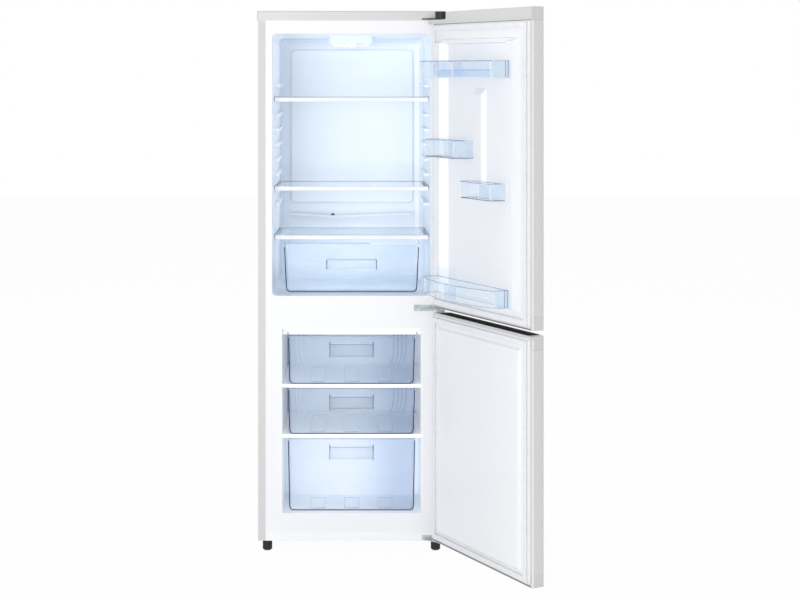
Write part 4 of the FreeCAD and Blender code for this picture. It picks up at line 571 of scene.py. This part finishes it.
def rounded(x0, x1, y0, y1, radius, steps=4):
    """Points round a rectangle with arcs at its corners."""
    corners = [(x1 - radius, y0 + radius, -90), (x1 - radius, y1 - radius, 0), (x0 + radius, y1 - radius, 90),
               (x0 + radius, y0 + radius, 180)]
    points = []
    for cx, cy, start in corners:
        for step in range(steps + 1):
            angle = math.radians(start + 90 * step / steps)
            points.append((cx + radius * math.cos(angle), cy + radius * math.sin(angle)))
    return points


def turned(profile, centre, steps=48):
    """A profile of radius and height pairs spun round the vertical through the centre."""
    form = bmesh.new()
    verts = [form.verts.new((radius, 0, height)) for radius, height in profile]
    edges = [form.edges.new(pair) for pair in zip(verts, verts[1:])]
    bmesh.ops.spin(
        form, geom=verts + edges, cent=(0, 0, 0), axis=(0, 0, 1), dvec=(0, 0, 0), angle=math.tau, steps=steps,
        use_merge=True, use_duplicate=False,
    )
    bmesh.ops.remove_doubles(form, verts=form.verts, dist=1e-6)
    bmesh.ops.recalc_face_normals(form, faces=form.faces)
    bmesh.ops.translate(form, vec=centre, verts=form.verts)
    return form


def lay(form, degrees):
    """Tips what stands on its base, about the X axis."""
    turn = Matrix.Rotation(math.radians(degrees), 3, "X")
    bmesh.ops.rotate(form, cent=(0, 0, 0), matrix=turn, verts=form.verts)


def add_bar(form, size, angle, spot):
    """A small bar turned about the vertical."""
    made = bmesh.ops.create_cube(form, size=1)["verts"]
    bmesh.ops.scale(form, vec=size, verts=made)
    bmesh.ops.rotate(form, cent=(0, 0, 0), matrix=Matrix.Rotation(angle, 3, "Z"), verts=made)
    bmesh.ops.translate(form, vec=spot, verts=made)


def put_in(form, part, spot):
    """Adds a bmesh to another, at a spot."""
    bmesh.ops.translate(part, vec=spot, verts=part.verts)
    mesh = bpy.data.meshes.new("part")
    part.to_mesh(mesh)
    part.free()
    form.from_mesh(mesh)
    bpy.data.meshes.remove(mesh)


def along(distance):
    """X of a point on the closed door, measured from its hinge side."""
    return HALF_WIDTH - distance


def swung(form):
    """Turns what was drawn on the closed door to where the door stands."""
    bmesh.ops.transform(form, matrix=SWING, verts=form.verts)
    return form


def frame_sweep(profile, x0, x1, z0, z1, face):
    """A profile of (inward, out) pairs swept round a rectangle with mitred corners, as on a gasket."""
    form = bmesh.new()
    rings = []
    for x, z, way_x, way_z in ((x0, z0, 1, 1), (x1, z0, -1, 1), (x1, z1, -1, -1), (x0, z1, 1, -1)):
        verts = [form.verts.new((x + way_x * a, face + b, z + way_z * a)) for a, b in profile]
        rings.append([form.edges.new(pair) for pair in zip(verts, verts[1:] + verts[:1])])
    for first, second in zip(rings, rings[1:] + rings[:1]):
        bmesh.ops.bridge_loops(form, edges=first + second)
    bmesh.ops.recalc_face_normals(form, faces=form.faces)
    return form


# Pieces of the doors

# The gasket's section in mm, as far inward and as far out: foot, bellows, magnet bead and back down
SEAL = [
    (0.6, 0.0), (13.4, 0.0), (13.4, 2.2), (11.0, 3.0), (9.6, 4.4), (11.2, 5.6), (9.8, 6.8), (12.6, 7.6),
    (14.0, 8.8), (14.0, 10.6), (13.0, 11.6), (1.0, 11.6), (0.0, 10.6), (0.0, 8.8),
    (1.4, 7.6), (4.2, 6.8), (2.8, 5.6), (4.4, 4.4), (3.0, 3.0), (0.6, 2.2),
]
SEAL_INSET = 12.3 * MM


def make_seal(door):
    """A bellows gasket with its magnet bead, in place of the plain section."""
    low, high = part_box(door + "_door_gasket")
    profile = [(a * MM, b * MM) for a, b in SEAL]
    half = HALF_WIDTH - SEAL_INSET
    form = frame_sweep(profile, -half, half, low.z, high.z, INNER_FACE)
    plain = (door + "_door_gasket",)
    return piece(door + "_seal", swung(form), door + "_door", "gasket_white", plain)


def make_plugs(door, spots):
    """Small round caps over the holes in a door's liner."""
    form = bmesh.new()
    for u, z in spots:
        disc = turned([(0, 1.1 * MM), (3.0 * MM, 0.9 * MM), (3.6 * MM, 0.0)], (0, 0, 0), 20)
        lay(disc, -90)
        put_in(form, disc, (along(u), INNER_FACE - 0.1 * MM, z))
    return piece(door + "_liner_plugs", swung(form), door + "_door", "gasket_white")


def bin_line(name, height, sink):
    """Points round a bin's outline at a height; sink draws the line in."""
    size = BINS[name]
    x1 = along(size["start"]) - sink
    x0 = along(size["start"] + size["length"]) + sink
    back, front = DYKE_TOP + sink, INNER_FACE + size["reach"] - sink
    if not size["bow"]:
        return [(x, y, height) for x, y in rounded(x0, x1, back, front, BIN_CORNER - sink)]
    points = [(x1, back, height)]
    steps = 24
    half = (x1 - x0) / 2
    radius = (half * half + size["bow"] ** 2) / (2 * size["bow"])
    for step in range(steps + 1):
        x = x1 - (x1 - x0) * step / steps
        reach = math.sqrt(radius * radius - (x - (x0 + x1) / 2) ** 2) - (radius - size["bow"])
        points.append((x, front + reach, height))
    points.append((x0, back, height))
    return points


def make_bin_mouldings(name):
    """The bead round a bin's top and the line round its floor, then its painted corner highlights, bottle stops
    and end.
    """
    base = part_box(name)[0].z
    top = base + BINS[name]["height"]
    radius = sizes().rim
    rim = gathered([tube(bin_line(name, top - radius * 0.4, 1.1 * MM), radius, True)])
    on_bin(name, "_rim", rim, "soft_line")
    floor = gathered([tube(bin_line(name, base + radius * 0.9, 3.8 * MM), radius * 0.8, True)])
    line = {"top_bin": "white_trim", "bottom_bin": "soft_line"}.get(name, "edge_line")
    on_bin(name, "_floor_line", floor, line)
    make_corner_highlights(name, base, top)
    make_bottle_stops(name, base, top)
    make_bin_end(name, base, top, line)


def on_bin(name, part, form, finish):
    """Makes a moulding of a bin, which was drawn on the closed door."""
    smooth_piece(name + part, swung(form), name, finish)


def make_corner_highlights(name, base, top):
    """Painted highlights: white upright beads on the rounded corners of a bin's front."""
    size = BINS[name]
    bars = (0.0, 3.2 * MM, 6.4 * MM) if name == "top_bin" else (0.0, 2.6 * MM)
    highlight_beads = []
    for u in (size["start"], size["start"] + size["length"]):
        side = 1 if u == size["start"] else -1
        for shift in bars:
            x, y = along(u) - side * 2.0 * MM, INNER_FACE + size["reach"] - 4.0 * MM - shift
            foot = (x - side * 1.5 * MM, y - 2.2 * MM, base + 3 * MM)
            highlight_beads.append(tube([foot, (x, y, top - 2 * MM)], 1.5 * MM))
    on_bin(name, "_corner_highlights", gathered(highlight_beads), "white_trim")


def make_bottle_stops(name, base, top):
    """Blue panels that clip inside a bin's front, with a pale rib at one end of each."""
    size = BINS[name]
    form, ribs = bmesh.new(), []
    for start, end in size["stops"]:
        y = INNER_FACE + size["reach"] + size["bow"] * 0.955 - 5.5 * MM
        add_block(form, (along(end), y - 1.6 * MM, base + 5 * MM), (along(start), y, top - 4 * MM), 0.6 * MM)
        ribs.append(tube([(along(start), y, base + 5 * MM), (along(start), y, top - 4 * MM)], 1.1 * MM))
    on_bin(name, "_bottle_stops", form, "stop_plastic")
    on_bin(name, "_stop_ribs", gathered(ribs), "white_trim")


def make_bin_end(name, base, top, line):
    """The sleeve at a bin's free end, which drops over the door's block, with the line along its foot."""
    size = BINS[name]
    end = size["start"] + size["length"]
    outer = along(end + 9.8 * MM)
    back = INNER_FACE + 1.4 * MM if name == "hinge_side_bin" else DYKE_TOP + 0.4 * MM
    front = INNER_FACE + size["reach"] - 6 * MM
    form = bmesh.new()
    add_block(form, (outer, back, base + 1.5 * MM), (outer + 1.5 * MM, front, top), 0.6 * MM)
    low = (outer + 1.0 * MM, front - 1.6 * MM, base + 1.5 * MM)
    add_block(form, low, (along(end) - 0.4 * MM, front, top), 0.5 * MM)
    on_bin(name, "_end_sleeve", form, "end_plastic")
    foot = tube([(outer + 0.7 * MM, y, base + 1.6 * MM) for y in (back, front)], 1.0 * MM)
    on_bin(name, "_end_foot", gathered([foot]), line)
    if name in ("top_bin", "bottom_bin"):
        x, heights = outer - 0.1 * MM, (base + 3 * MM, top + 1 * MM)
        lines = [tube([(x, INNER_FACE + out, z) for z in heights], 0.9 * MM) for out in (36 * MM, 27 * MM)]
        on_bin(name, "_end_lines", gathered(lines), "flute_blue")


def make_egg_rings():
    """The rims of the cups in the egg tray."""
    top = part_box("egg_tray")[1].z
    middle = (DYKE_TOP + INNER_FACE + BINS["top_bin"]["reach"]) / 2 - 0.2 * MM
    rings = []
    for count in range(EGG_CUPS):
        x = along(EGG_TRAY_END) + EGG_CUP_PITCH * (count + 0.5)
        angles = [math.tau * step / 32 for step in range(32)]
        ring = [(x + EGG_CUP_RADIUS * math.cos(a), middle + EGG_CUP_RADIUS * math.sin(a), top) for a in angles]
        rings.append(tube(ring, 1.0 * MM, True))
    smooth_piece("egg_cup_rims", swung(gathered(rings)), "top_bin", "flute_blue")


def smooth_piece(name, form, body, finish, stands_for=()):
    made = piece(name, form, body, finish, stands_for)
    smooth(made.data)
    return made


def make_grip_strip():
    """A ribbed grip strip on the top of the lower door, darker than the black plastic: black plastic with painted
    shade of the gap.
    """
    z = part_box("lower_door_caps")[1].z
    form = bmesh.new()
    low = (along(520 * MM), INNER_FACE - 39 * MM, z - 0.2 * MM)
    high = (along(34 * MM), INNER_FACE - 4 * MM, z + 1.4 * MM)
    add_block(form, low, high, 0.6 * MM)
    for count in range(12):
        x = along((60 + 36 * count) * MM)
        rib = (x + 14 * MM, high[1] - 4 * MM, z + 2.2 * MM)
        add_block(form, (x - 14 * MM, low[1] + 4 * MM, z + 1.0 * MM), rib, 0.5 * MM)
    return smooth_piece("lower_door_grip_strip", swung(form), "lower_door", "grip_black")


def make_cap_lines():
    """The seam in each door cap beside the skin; the lower door's bottom cap has none that shows."""
    for door in ("upper", "lower"):
        low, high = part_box(door + "_door_skin")
        form = bmesh.new()
        for z in (low.z, high.z) if door == "upper" else (high.z,):
            add_block(
                form, (-HALF_WIDTH - 0.15 * MM, DOOR_FRONT + 12 * MM, z - 0.5 * MM),
                (HALF_WIDTH + 0.15 * MM, INNER_FACE - 0.5 * MM, z + 0.5 * MM), 0.1 * MM, 1,
            )
        piece(door + "_cap_lines", swung(form), door + "_door", "cap_line")


def make_liner_edges():
    """Painted shadow strips along the top and foot of the doors' inner faces, and the liner's lip at the free
    edge.
    """
    for door in ("upper", "lower"):
        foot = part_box(door + "_door_caps")[0].z
        liner_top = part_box(door + "_door_liner")[1].z
        form = bmesh.new()
        # Painted shadow: dark strips at the foot of each inner face and along the top of the upper door's liner
        heights = [(foot + 1.5 * MM, foot + 4.5 * MM)]
        if door == "upper":
            heights.append((liner_top - 0.4 * MM, liner_top + 1.4 * MM))
        half = HALF_WIDTH - 4 * MM
        for z0, z1 in heights:
            add_block(form, (-half, INNER_FACE - 0.5 * MM, z0), (half, INNER_FACE + 0.5 * MM, z1), 0.2 * MM, 1)
        piece(door + "_painted_shadow_strips", swung(form), door + "_door", "cap_shadow")
        lip = bmesh.new()
        add_block(
            lip, (-HALF_WIDTH - 0.15 * MM, INNER_FACE - 6.5 * MM, foot + 1 * MM),
            (-HALF_WIDTH + 5 * MM, INNER_FACE - 0.6 * MM, liner_top), 0.14 * MM, 1,
        )
        piece(door + "_liner_lip", swung(lip), door + "_door", "white_trim")


# Pieces of the compartments


class Drawer:
    """Half widths at floor and rim, and front, back, floor and rim of a drawer or the crisper."""

    def __init__(self, name):
        low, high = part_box(name)
        self.narrow = high.x - (6 * MM if name == "crisper" else 4 * MM)
        self.wide = high.x
        self.front, self.back = low.y, high.y
        self.base, self.rim = low.z, high.z


def on_drawer(name, part, beads, finish):
    """Makes the beads of a drawer or the crisper."""
    smooth_piece(name + part, gathered(beads), name, finish)


def make_front_line(name, top_drop, finish):
    """The dark line down both sides of a clear front and along its bottom."""
    drawer = Drawer(name)
    radius = sizes().edge
    corner = 12 * MM
    y = drawer.front + radius * 0.8
    top = drawer.rim - top_drop
    share = (top - drawer.base) / (drawer.rim - drawer.base)
    side = drawer.narrow + (drawer.wide - drawer.narrow) * share - radius
    foot = drawer.narrow - radius
    points = [(-side, y, top), (-foot - 0.4 * MM, y, drawer.base + corner + 8 * MM)]
    for step in range(9):
        angle = math.radians(180 + 90 * step / 8)
        z = drawer.base + radius + corner + corner * math.sin(angle)
        points.append((-foot + corner + corner * math.cos(angle), y, z))
    points += [(-x, y_, z) for x, y_, z in reversed(points)]
    on_drawer(name, "_front_line", [tube(points, radius)], finish)


def make_grip_lines(name, width, height, drop, finish):
    """The line over a grip and down its two sides."""
    drawer = Drawer(name)
    radius = sizes().grip
    y = drawer.front + radius * 0.7
    top = drawer.rim - drop
    half = width / 2 + radius
    rise = 8 * MM if name != "crisper" else 0.0
    foot = top - height * 1.1
    sides = [tube([(x, y, top + rise), (x, y + 1.0 * MM, foot)], radius * 1.1) for x in (-half, half)]
    over = tube([(-half, y, top + radius * 0.5), (half, y, top + radius * 0.5)], radius * 0.7)
    on_drawer(name, "_grip_lines", sides + [over], finish)


def make_rim_bead(name, finish):
    """A rolled rim along the sides and back of a drawer."""
    drawer, radius = Drawer(name), 1.2 * MM
    half = drawer.wide - radius
    outline = rounded(-half, half, drawer.front + radius, drawer.back - radius, 9 * MM)
    points = [(x, y, drawer.rim - 1.0 * MM) for x, y in outline]
    on_drawer(name, "_rim", [tube(points, radius, True)], finish)


def make_flutes(name):
    """Upright flutes inside a drawer's back wall, beside its corners: painted highlight left, painted shade right.
    """
    drawer = Drawer(name)
    back, base, rim = drawer.back, drawer.base, drawer.rim
    # One kind of flute: white on the left is painted highlight, dark blue on the right is painted shade
    flutes = ((-1, "left", "white_trim", (157, 171)), (1, "right", "flute_blue", (130, 143, 155, 168)))
    for side, word, finish, places in flutes:
        lines = []
        for place in places:
            x = side * place * MM
            points = [
                (x - side * 14 * MM, back - 8 * MM, base + 4 * MM),
                (x - side * 5 * MM, back - 7 * MM, base + 20 * MM),
                (x, back - 5.6 * MM, base + 44 * MM), (x, back - 3.4 * MM, rim - 3 * MM),
            ]
            lines.append(tube(points, 1.8 * MM))
        on_drawer(name, "_flutes_" + word, lines, finish)


def make_floor_channels(name):
    """The half-round front ends of the floor's raised channels and the lines along their sides."""
    drawer = Drawer(name)
    start, stop = drawer.front + 12 * MM, drawer.back - 40 * MM
    z = drawer.base + 5.2 * MM
    ends, lines = [], []
    for x in (-100 * MM, 0.0, 100 * MM):
        arc = []
        for step in range(9):
            angle = math.radians(180 * step / 8)
            y = start + 6 * MM - 8 * MM * math.sin(angle)
            arc.append((x - 21 * MM * math.cos(angle), y, drawer.base + 4.6 * MM))
        ends.append(tube(arc, 0.9 * MM))
        left, right = x - 21.6 * MM, x + 21.6 * MM
        lines += [tube([(edge, start + 12 * MM, z), (edge, stop, z)], 0.8 * MM) for edge in (left, right)]
        lines.append(tube([(left, stop, z), (right, stop, z)], 0.8 * MM))
    on_drawer(name, "_channel_ends", ends, "edge_line")
    on_drawer(name, "_channel_lines", lines, "soft_line")


def make_shelf_edges():
    """The greenish ground edges of the three sheets of glass, along their sides and backs."""
    form = bmesh.new()
    for name in SHELVES:
        low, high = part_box(name)
        for side in (-1, 1):
            x0, x1 = sorted((side * (high.x - 0.2 * MM), side * (high.x + 1.6 * MM)))
            add_block(form, (x0, low.y, low.z + 0.15 * MM), (x1, high.y, high.z + 0.5 * MM), 0.5 * MM)
        start = (low.x + 4 * MM, high.y - 0.2 * MM, low.z + 0.3 * MM)
        add_block(form, start, (high.x - 4 * MM, high.y + 1.2 * MM, high.z - 0.2 * MM), 0.4 * MM)
    return smooth_piece("shelf_glass_edges", form, "cabinet", "glass_edge")


def make_crisper_highlight():
    """A painted highlight: a white strip along the right half of the crisper's rim."""
    crisper = Drawer("crisper")
    form = bmesh.new()
    low = (58 * MM, crisper.front - 0.4 * MM, crisper.rim - 4.2 * MM)
    add_block(form, low, (crisper.wide - 3 * MM, crisper.front + 3 * MM, crisper.rim - 0.2 * MM), 0.8 * MM)
    smooth_piece("crisper_rim_highlight", form, "crisper", "white_trim")


def make_freezer_header():
    """The grey bead over the freezer's top strip, and the small end brackets under it."""
    low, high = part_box("freezer_trims")
    y, half = low.y - 0.6 * MM, high.x - 1 * MM
    top = high.z - 1.2 * MM
    points = [(-half, y, top - 9 * MM), (-half, y, top - 3 * MM), (-half + 3 * MM, y, top)]
    points += [(-x, y_, z) for x, y_, z in reversed(points)]
    bead = gathered([tube(points, 0.8 * MM)])
    smooth_piece("freezer_header_bead", bead, "cabinet", "cap_line")
    form = bmesh.new()
    for x in (-half + 16 * MM, half - 10 * MM):
        corner = (x + 4 * MM, low.y + 4 * MM, top - 12 * MM)
        add_block(form, (x - 4 * MM, low.y - 2 * MM, top - 19 * MM), corner, 1 * MM)
    smooth_piece("freezer_strip_brackets", form, "cabinet", "glass_edge")


def make_shelf_hooks():
    """The grey end stops of the shelf trims, which curve up and back over the ribs."""
    lines = []
    low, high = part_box("shelf_trims")
    for name in SHELVES:
        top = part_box(name)[1].z
        for side in (-1, 1):
            x = side * (high.x + 0.3 * MM)
            points = [
                (x, low.y + 4 * MM, top - 4 * MM), (x + side * 0.5 * MM, low.y + 2.5 * MM, top + 0.5 * MM),
                (x, low.y + 5 * MM, top + 4.5 * MM), (x - side * 3 * MM, low.y + 14 * MM, top + 5.2 * MM),
                (x - side * 6 * MM, low.y + 30 * MM, top + 4.0 * MM),
            ]
            lines.append(tube(points, 1.1 * MM))
    return smooth_piece("shelf_trim_hooks", gathered(lines), "cabinet", "glass_edge")


def make_back_beads():
    """The soft upright edges of the raised panel in the fridge's back wall, and its lower edge."""
    low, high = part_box("fridge_evaporator")
    y = low.y - 5.2 * MM
    half = high.x + 0.4 * MM
    z0, z1 = low.z - 0.5 * MM, high.z + 12 * MM
    points = [(x, y, z) for x, z in rounded(-half, half, z0, z1, 14 * MM)]
    bead = gathered([tube(points, 2.2 * MM, True)])
    return smooth_piece("back_panel_bead", bead, "cabinet", "white_plastic")


def make_dial_marks():
    """Short raised strokes round the thermostat knob."""
    low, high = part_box("thermostat_knob")
    centre = (low + high) / 2
    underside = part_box("control_housing")[0].z
    radius = 21 * MM
    form = bmesh.new()
    for count in range(7):
        angle = math.radians(-210 + 40 * count)
        spot = (centre.x + radius * math.cos(angle), centre.y + radius * math.sin(angle), underside - 0.1 * MM)
        add_bar(form, (4.4 * MM, 0.9 * MM, 0.5 * MM), angle, spot)
    bmesh.ops.bevel(
        form, geom=list(form.edges), offset=0.12 * MM, segments=1, affect="EDGES", profile=0.5, material=-1
    )
    return piece("dial_marks", form, "cabinet", "soft_line")


# Pieces below and behind


def make_foot(name):
    """A levelling foot with a knurled collar, in place of the plain one."""
    low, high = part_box(name)
    centre = (low + high) / 2
    radius = (high.x - low.x) / 2
    top = 30.7 * MM
    profile = [(0, 0), (radius - 4 * MM, 0), (radius, 4 * MM)]
    for count in range(6):
        z = (6 + 3.2 * count) * MM
        groove = radius - 0.9 * MM
        profile += [(radius, z), (groove, z + 0.6 * MM), (groove, z + 1.4 * MM), (radius, z + 2.0 * MM)]
    profile += [(radius, top - 1.5 * MM), (radius - 1.5 * MM, top)]
    profile += [(4 * MM, top), (4 * MM, high.z), (0, high.z)]
    form = turned(profile, (centre.x, centre.y, 0))
    return smooth_piece("levelling_" + name, form, name, "black_plastic", (name,))


def make_screw_heads():
    """Cross-recessed heads over the hinge screws."""
    margin = 9 * MM
    right = HALF_WIDTH - 5 * MM
    left = right - 62 * MM
    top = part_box("top_hinge_cover")[0].z
    spots = [(Vector((x, y, top)), "up") for x in (left + margin, right - margin) for y in (23 * MM, 61 * MM)]
    front = -2 * MM
    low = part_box("bottom_hinge")[0].z + 9.5 * MM
    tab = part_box("lower_door_caps")[1].z + 9 * MM
    last = left - 5.5 * MM
    spots += [(Vector((x, front, tab)), "out") for x in (last - 12 * MM, last)]
    spots += [(Vector((x, front, low)), "out") for x in (left + margin, left + margin + 12 * MM)]
    dome = [(0, 2.6 * MM), (2.6 * MM, 2.4 * MM), (4.4 * MM, 1.3 * MM), (4.7 * MM, 0.0)]
    form = bmesh.new()
    for spot, way in spots:
        head = turned(dome, (0, 0, 0), 24)
        for turn in (0, 90):
            add_bar(head, (4.4 * MM, 0.9 * MM, 0.6 * MM), math.radians(turn + 20), (0, 0, 2.5 * MM))
        if way == "out":
            lay(head, 90)
        put_in(form, head, spot)
    return smooth_piece("screw_heads", form, "cabinet", "zinc_steel")


# Operators


class Fridge:
    """What every operator here shares."""

    bl_options = {"REGISTER", "UNDO"}

    def execute(self, context):
        self.make()
        return {"FINISHED"}


class FRIDGE_OT_finishes(Fridge, bpy.types.Operator):
    """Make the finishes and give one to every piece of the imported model"""

    bl_idname = "fridge.finishes"
    bl_label = "Finishes"

    def make(self):
        make_finishes()
        slots = {entry["node"]: entry["material_slot"] for entry in record["subparts"]}
        special = {
            "shelf_trims": "white_trim", "freezer_trims": "white_trim", "thermostat_knob": "white_trim",
            "freezer_drawer_upper": "clear_drawer", "freezer_drawer_middle": "clear_drawer",
            "freezer_drawer_lower": "clear_deep_drawer", "egg_tray": "egg_plastic",
            "control_housing": "unit_plastic", "crisper_cover_glass": "cover_glass",
            "top_cover": "cover_plastic", "side_panel_left": "side_paint", "side_panel_right": "side_paint",
        }
        for name, node in frame["nodes"].items():
            node.data.materials.clear()
            node.data.materials.append(finishes[special.get(name, slots[name])])


class FRIDGE_OT_seals(Fridge, bpy.types.Operator):
    """Make the bellows gaskets of both doors"""

    bl_idname = "fridge.seals"
    bl_label = "Door seals"

    def make(self):
        for door in ("upper", "lower"):
            make_seal(door)


class FRIDGE_OT_door_trim(Fridge, bpy.types.Operator):
    """Make the plugs, cap lines, liner edges with painted shadow strips, and grip strip, darkened as painted
    shade, of the doors
    """

    bl_idname = "fridge.door_trim"
    bl_label = "Door trim"

    def make(self):
        make_plugs("upper", [(500 * MM, 1.528), (22 * MM, 0.728)])
        make_plugs("lower", [(26 * MM, 0.690), (26 * MM, 0.052)])
        make_cap_lines()
        make_liner_edges()
        make_grip_strip()


class FRIDGE_OT_bins(Fridge, bpy.types.Operator):
    """Make the rims, lines, painted corner highlights, bottle stops and end sleeves of the door bins, and the egg
    cups' rims
    """

    bl_idname = "fridge.bins"
    bl_label = "Door bins"

    def make(self):
        for name in BINS:
            make_bin_mouldings(name)
        make_egg_rings()


class FRIDGE_OT_drawers(Fridge, bpy.types.Operator):
    """Make the lines and rims of the crisper and the drawers, and the drawers' channels and flutes"""

    bl_idname = "fridge.drawers"
    bl_label = "Drawers"

    def make(self):
        # Grips are 145 by 28 mm in the crisper and 125 by 34 mm in the drawers, 50 and 26 mm under the rim
        make_front_line("crisper", 12 * MM, "edge_line")
        make_grip_lines("crisper", 145 * MM, 28 * MM, 50 * MM, "edge_line")
        make_rim_bead("crisper", "soft_line")
        for name in DRAWERS:
            make_front_line(name, 6 * MM, "edge_line")
            make_grip_lines(name, 125 * MM, 34 * MM, 26 * MM, "edge_line")
            make_rim_bead(name, "soft_line")
            make_floor_channels(name)
        for name in DRAWERS[:2]:
            make_flutes(name)


class FRIDGE_OT_shelves(Fridge, bpy.types.Operator):
    """Make the glass edges and hooks of the shelves, the crisper rim's painted highlight, the freezer strip's
    beads, the back panel's bead and the dial marks
    """

    bl_idname = "fridge.shelves"
    bl_label = "Shelves and back wall"

    def make(self):
        make_shelf_edges()
        make_shelf_hooks()
        make_crisper_highlight()
        make_freezer_header()
        make_back_beads()
        make_dial_marks()


class FRIDGE_OT_hardware(Fridge, bpy.types.Operator):
    """Make the levelling feet and the hinge screws' heads"""

    bl_idname = "fridge.hardware"
    bl_label = "Feet and screws"

    def make(self):
        for name in ("foot_left", "foot_right"):
            make_foot(name)
        make_screw_heads()


class FRIDGE_OT_stage(Fridge, bpy.types.Operator):
    """Make the floor, the lamps, the world and the camera"""

    bl_idname = "fridge.stage"
    bl_label = "Studio"

    def make(self):
        self.make_floor()
        self.make_world()
        for name, place, target, size, power in self.lamps:
            self.make_lamp(name, place, target, size, power)
        for name, z, power in self.bulbs:
            self.make_lamp(name, (0, 0.19, z), (0, 0.19, 0), (0.10, 0.10), power, "POINT")
        self.make_camera()
        bpy.context.scene.view_settings.view_transform = "Standard"
        # A look through two bins crosses more clear walls than the usual limit
        bpy.context.scene.cycles.transparent_max_bounces = 64

    # Place, target, size and watts; only the front lamp is seen in mirrors
    lamps = (
        ("front_lamp", (-2.0, -6.0, 0.96), (0, 0.1, 0.80), (4.5, 1.9), 162),
        ("left_lamp", (-4.2, 3.0, 2.2), (0, 0.2, 0.9), (2.2, 2.2), 100),
        ("right_lamp", (4.2, 3.0, 2.2), (0, 0.2, 0.9), (2.2, 2.2), 100),
        ("fridge_fill", (0, 0.112, 1.127), (0, 1, 1.127), (0.42, 0.72), 0.10),
        ("fridge_left", (-0.19, 0.20, 1.15), (-1, 0.20, 1.15), (0.34, 0.68), 0.26),
        ("fridge_right", (0.19, 0.20, 1.15), (1, 0.20, 1.15), (0.34, 0.68), 0.05),
        ("fridge_top", (0, 0.20, 1.43), (0, 0.20, 2), (0.38, 0.34), 0.17),
        ("freezer_fill", (0, -0.004, 0.380), (0, 1, 0.380), (0.39, 0.50), 0.50),
        ("freezer_left", (-0.190, 0.20, 0.380), (-1, 0.20, 0.380), (0.34, 0.52), 0.15),
        ("freezer_right", (0.190, 0.20, 0.380), (1, 0.20, 0.380), (0.34, 0.52), 0.15),
        ("crisper_fill", (0, 0.15, 0.815), (0, 1, 0.815), (0.34, 0.11), 0.20),
    )
    bulbs = (("top_space", 1.405, 0.08), ("middle_space", 1.185, 0.06), ("low_space", 0.985, 0.11))

    def make_floor(self):
        form = bmesh.new()
        bmesh.ops.create_grid(form, x_segments=1, y_segments=1, size=sizes().floor / 2)
        mesh = bpy.data.meshes.new("studio_floor")
        form.to_mesh(mesh)
        form.free()
        floor = bpy.data.objects.new("studio_floor", mesh)
        bpy.context.scene.collection.objects.link(floor)
        grey = (0.75, 0.75, 0.75, 1.0)
        finish = Finish("floor_paper", Roughness=0.9, Specular_IOR_Level=0.0, Base_Color=grey)
        lit = Wire(finish, finish.surface.outputs[0])
        bright = finish.node("ShaderNodeEmission", {}, {"Color": linear(colours().floor), "Strength": 1.0})
        # The rest of the mix keeps the shadow
        share = finish.seen() * 0.97
        finish.end(finish.node("ShaderNodeMixShader", {}, {0: share, 1: lit, 2: bright}))
        mesh.materials.append(finish.material)

    def make_world(self):
        world = bpy.data.worlds.new("studio")
        bpy.context.scene.world = world
        world.use_nodes = True
        sky = Nodes(world.node_tree, "ShaderNodeOutputWorld")
        white = (1.0, 1.0, 1.0, 1.0)
        light = sky.node("ShaderNodeBackground", {}, {"Color": white, "Strength": 0.60})
        bright = sky.node("ShaderNodeBackground", {}, {"Color": white, "Strength": 1.0})
        sky.end(sky.node("ShaderNodeMixShader", {}, {0: sky.seen(), 1: light, 2: bright}))

    def make_lamp(self, name, place, target, size, power, kind="AREA"):
        light = bpy.data.lights.new(name, kind)
        if kind == "AREA":
            light.shape = "RECTANGLE"
            light.size, light.size_y = size
        else:
            light.shadow_soft_size = size[0]
        light.energy = power
        lamp = bpy.data.objects.new(name, light)
        lamp.location = place
        lamp.rotation_euler = (Vector(target) - Vector(place)).to_track_quat("-Z", "Y").to_euler()
        lamp.visible_camera = lamp.visible_glossy = name == "front_lamp"
        bpy.context.scene.collection.objects.link(lamp)

    def make_camera(self):
        view = bpy.data.cameras.new("photo_camera")
        view.sensor_width = 36
        view.lens = 81.6
        view.shift_x = 0.0525
        view.shift_y = -0.285
        view.clip_end = 100
        camera = bpy.data.objects.new("photo_camera", view)
        camera.location = (0.019, -5.290, 1.398)
        camera.rotation_euler = (math.radians(90), 0, 0)
        bpy.context.scene.collection.objects.link(camera)
        bpy.context.scene.camera = camera


class FRIDGE_PT_panel(bpy.types.Panel):
    """Buttons and settings of the refrigerator in the sidebar"""

    bl_idname = "FRIDGE_PT_panel"
    bl_label = "Refrigerator"
    bl_space_type = "VIEW_3D"
    bl_region_type = "UI"
    bl_category = "Refrigerator"

    def draw(self, context):
        for operator in OPERATORS:
            self.layout.operator(operator.bl_idname)
        for settings in (context.scene.fridge_colours, context.scene.fridge_sizes):
            column = self.layout.column()
            for name in settings.bl_rna.properties.keys():
                if name not in ("name", "rna_type"):
                    column.prop(settings, name)


OPERATORS = (
    FRIDGE_OT_finishes, FRIDGE_OT_seals, FRIDGE_OT_door_trim, FRIDGE_OT_bins, FRIDGE_OT_drawers,
    FRIDGE_OT_shelves, FRIDGE_OT_hardware, FRIDGE_OT_stage,
)
CLASSES = (FridgeColours, FridgeSizes) + OPERATORS + (FRIDGE_PT_panel,)


def register():
    for kind in CLASSES:
        bpy.utils.register_class(kind)
    bpy.types.Scene.fridge_colours = bpy.props.PointerProperty(type=FridgeColours)
    bpy.types.Scene.fridge_sizes = bpy.props.PointerProperty(type=FridgeSizes)


def unregister():
    del bpy.types.Scene.fridge_sizes
    del bpy.types.Scene.fridge_colours
    for kind in reversed(CLASSES):
        bpy.utils.unregister_class(kind)


def main():
    register()
    for operator in OPERATORS:
        group, name = operator.bl_idname.split(".")
        getattr(getattr(bpy.ops, group), name)()


if __name__ == "__main__":
    main()
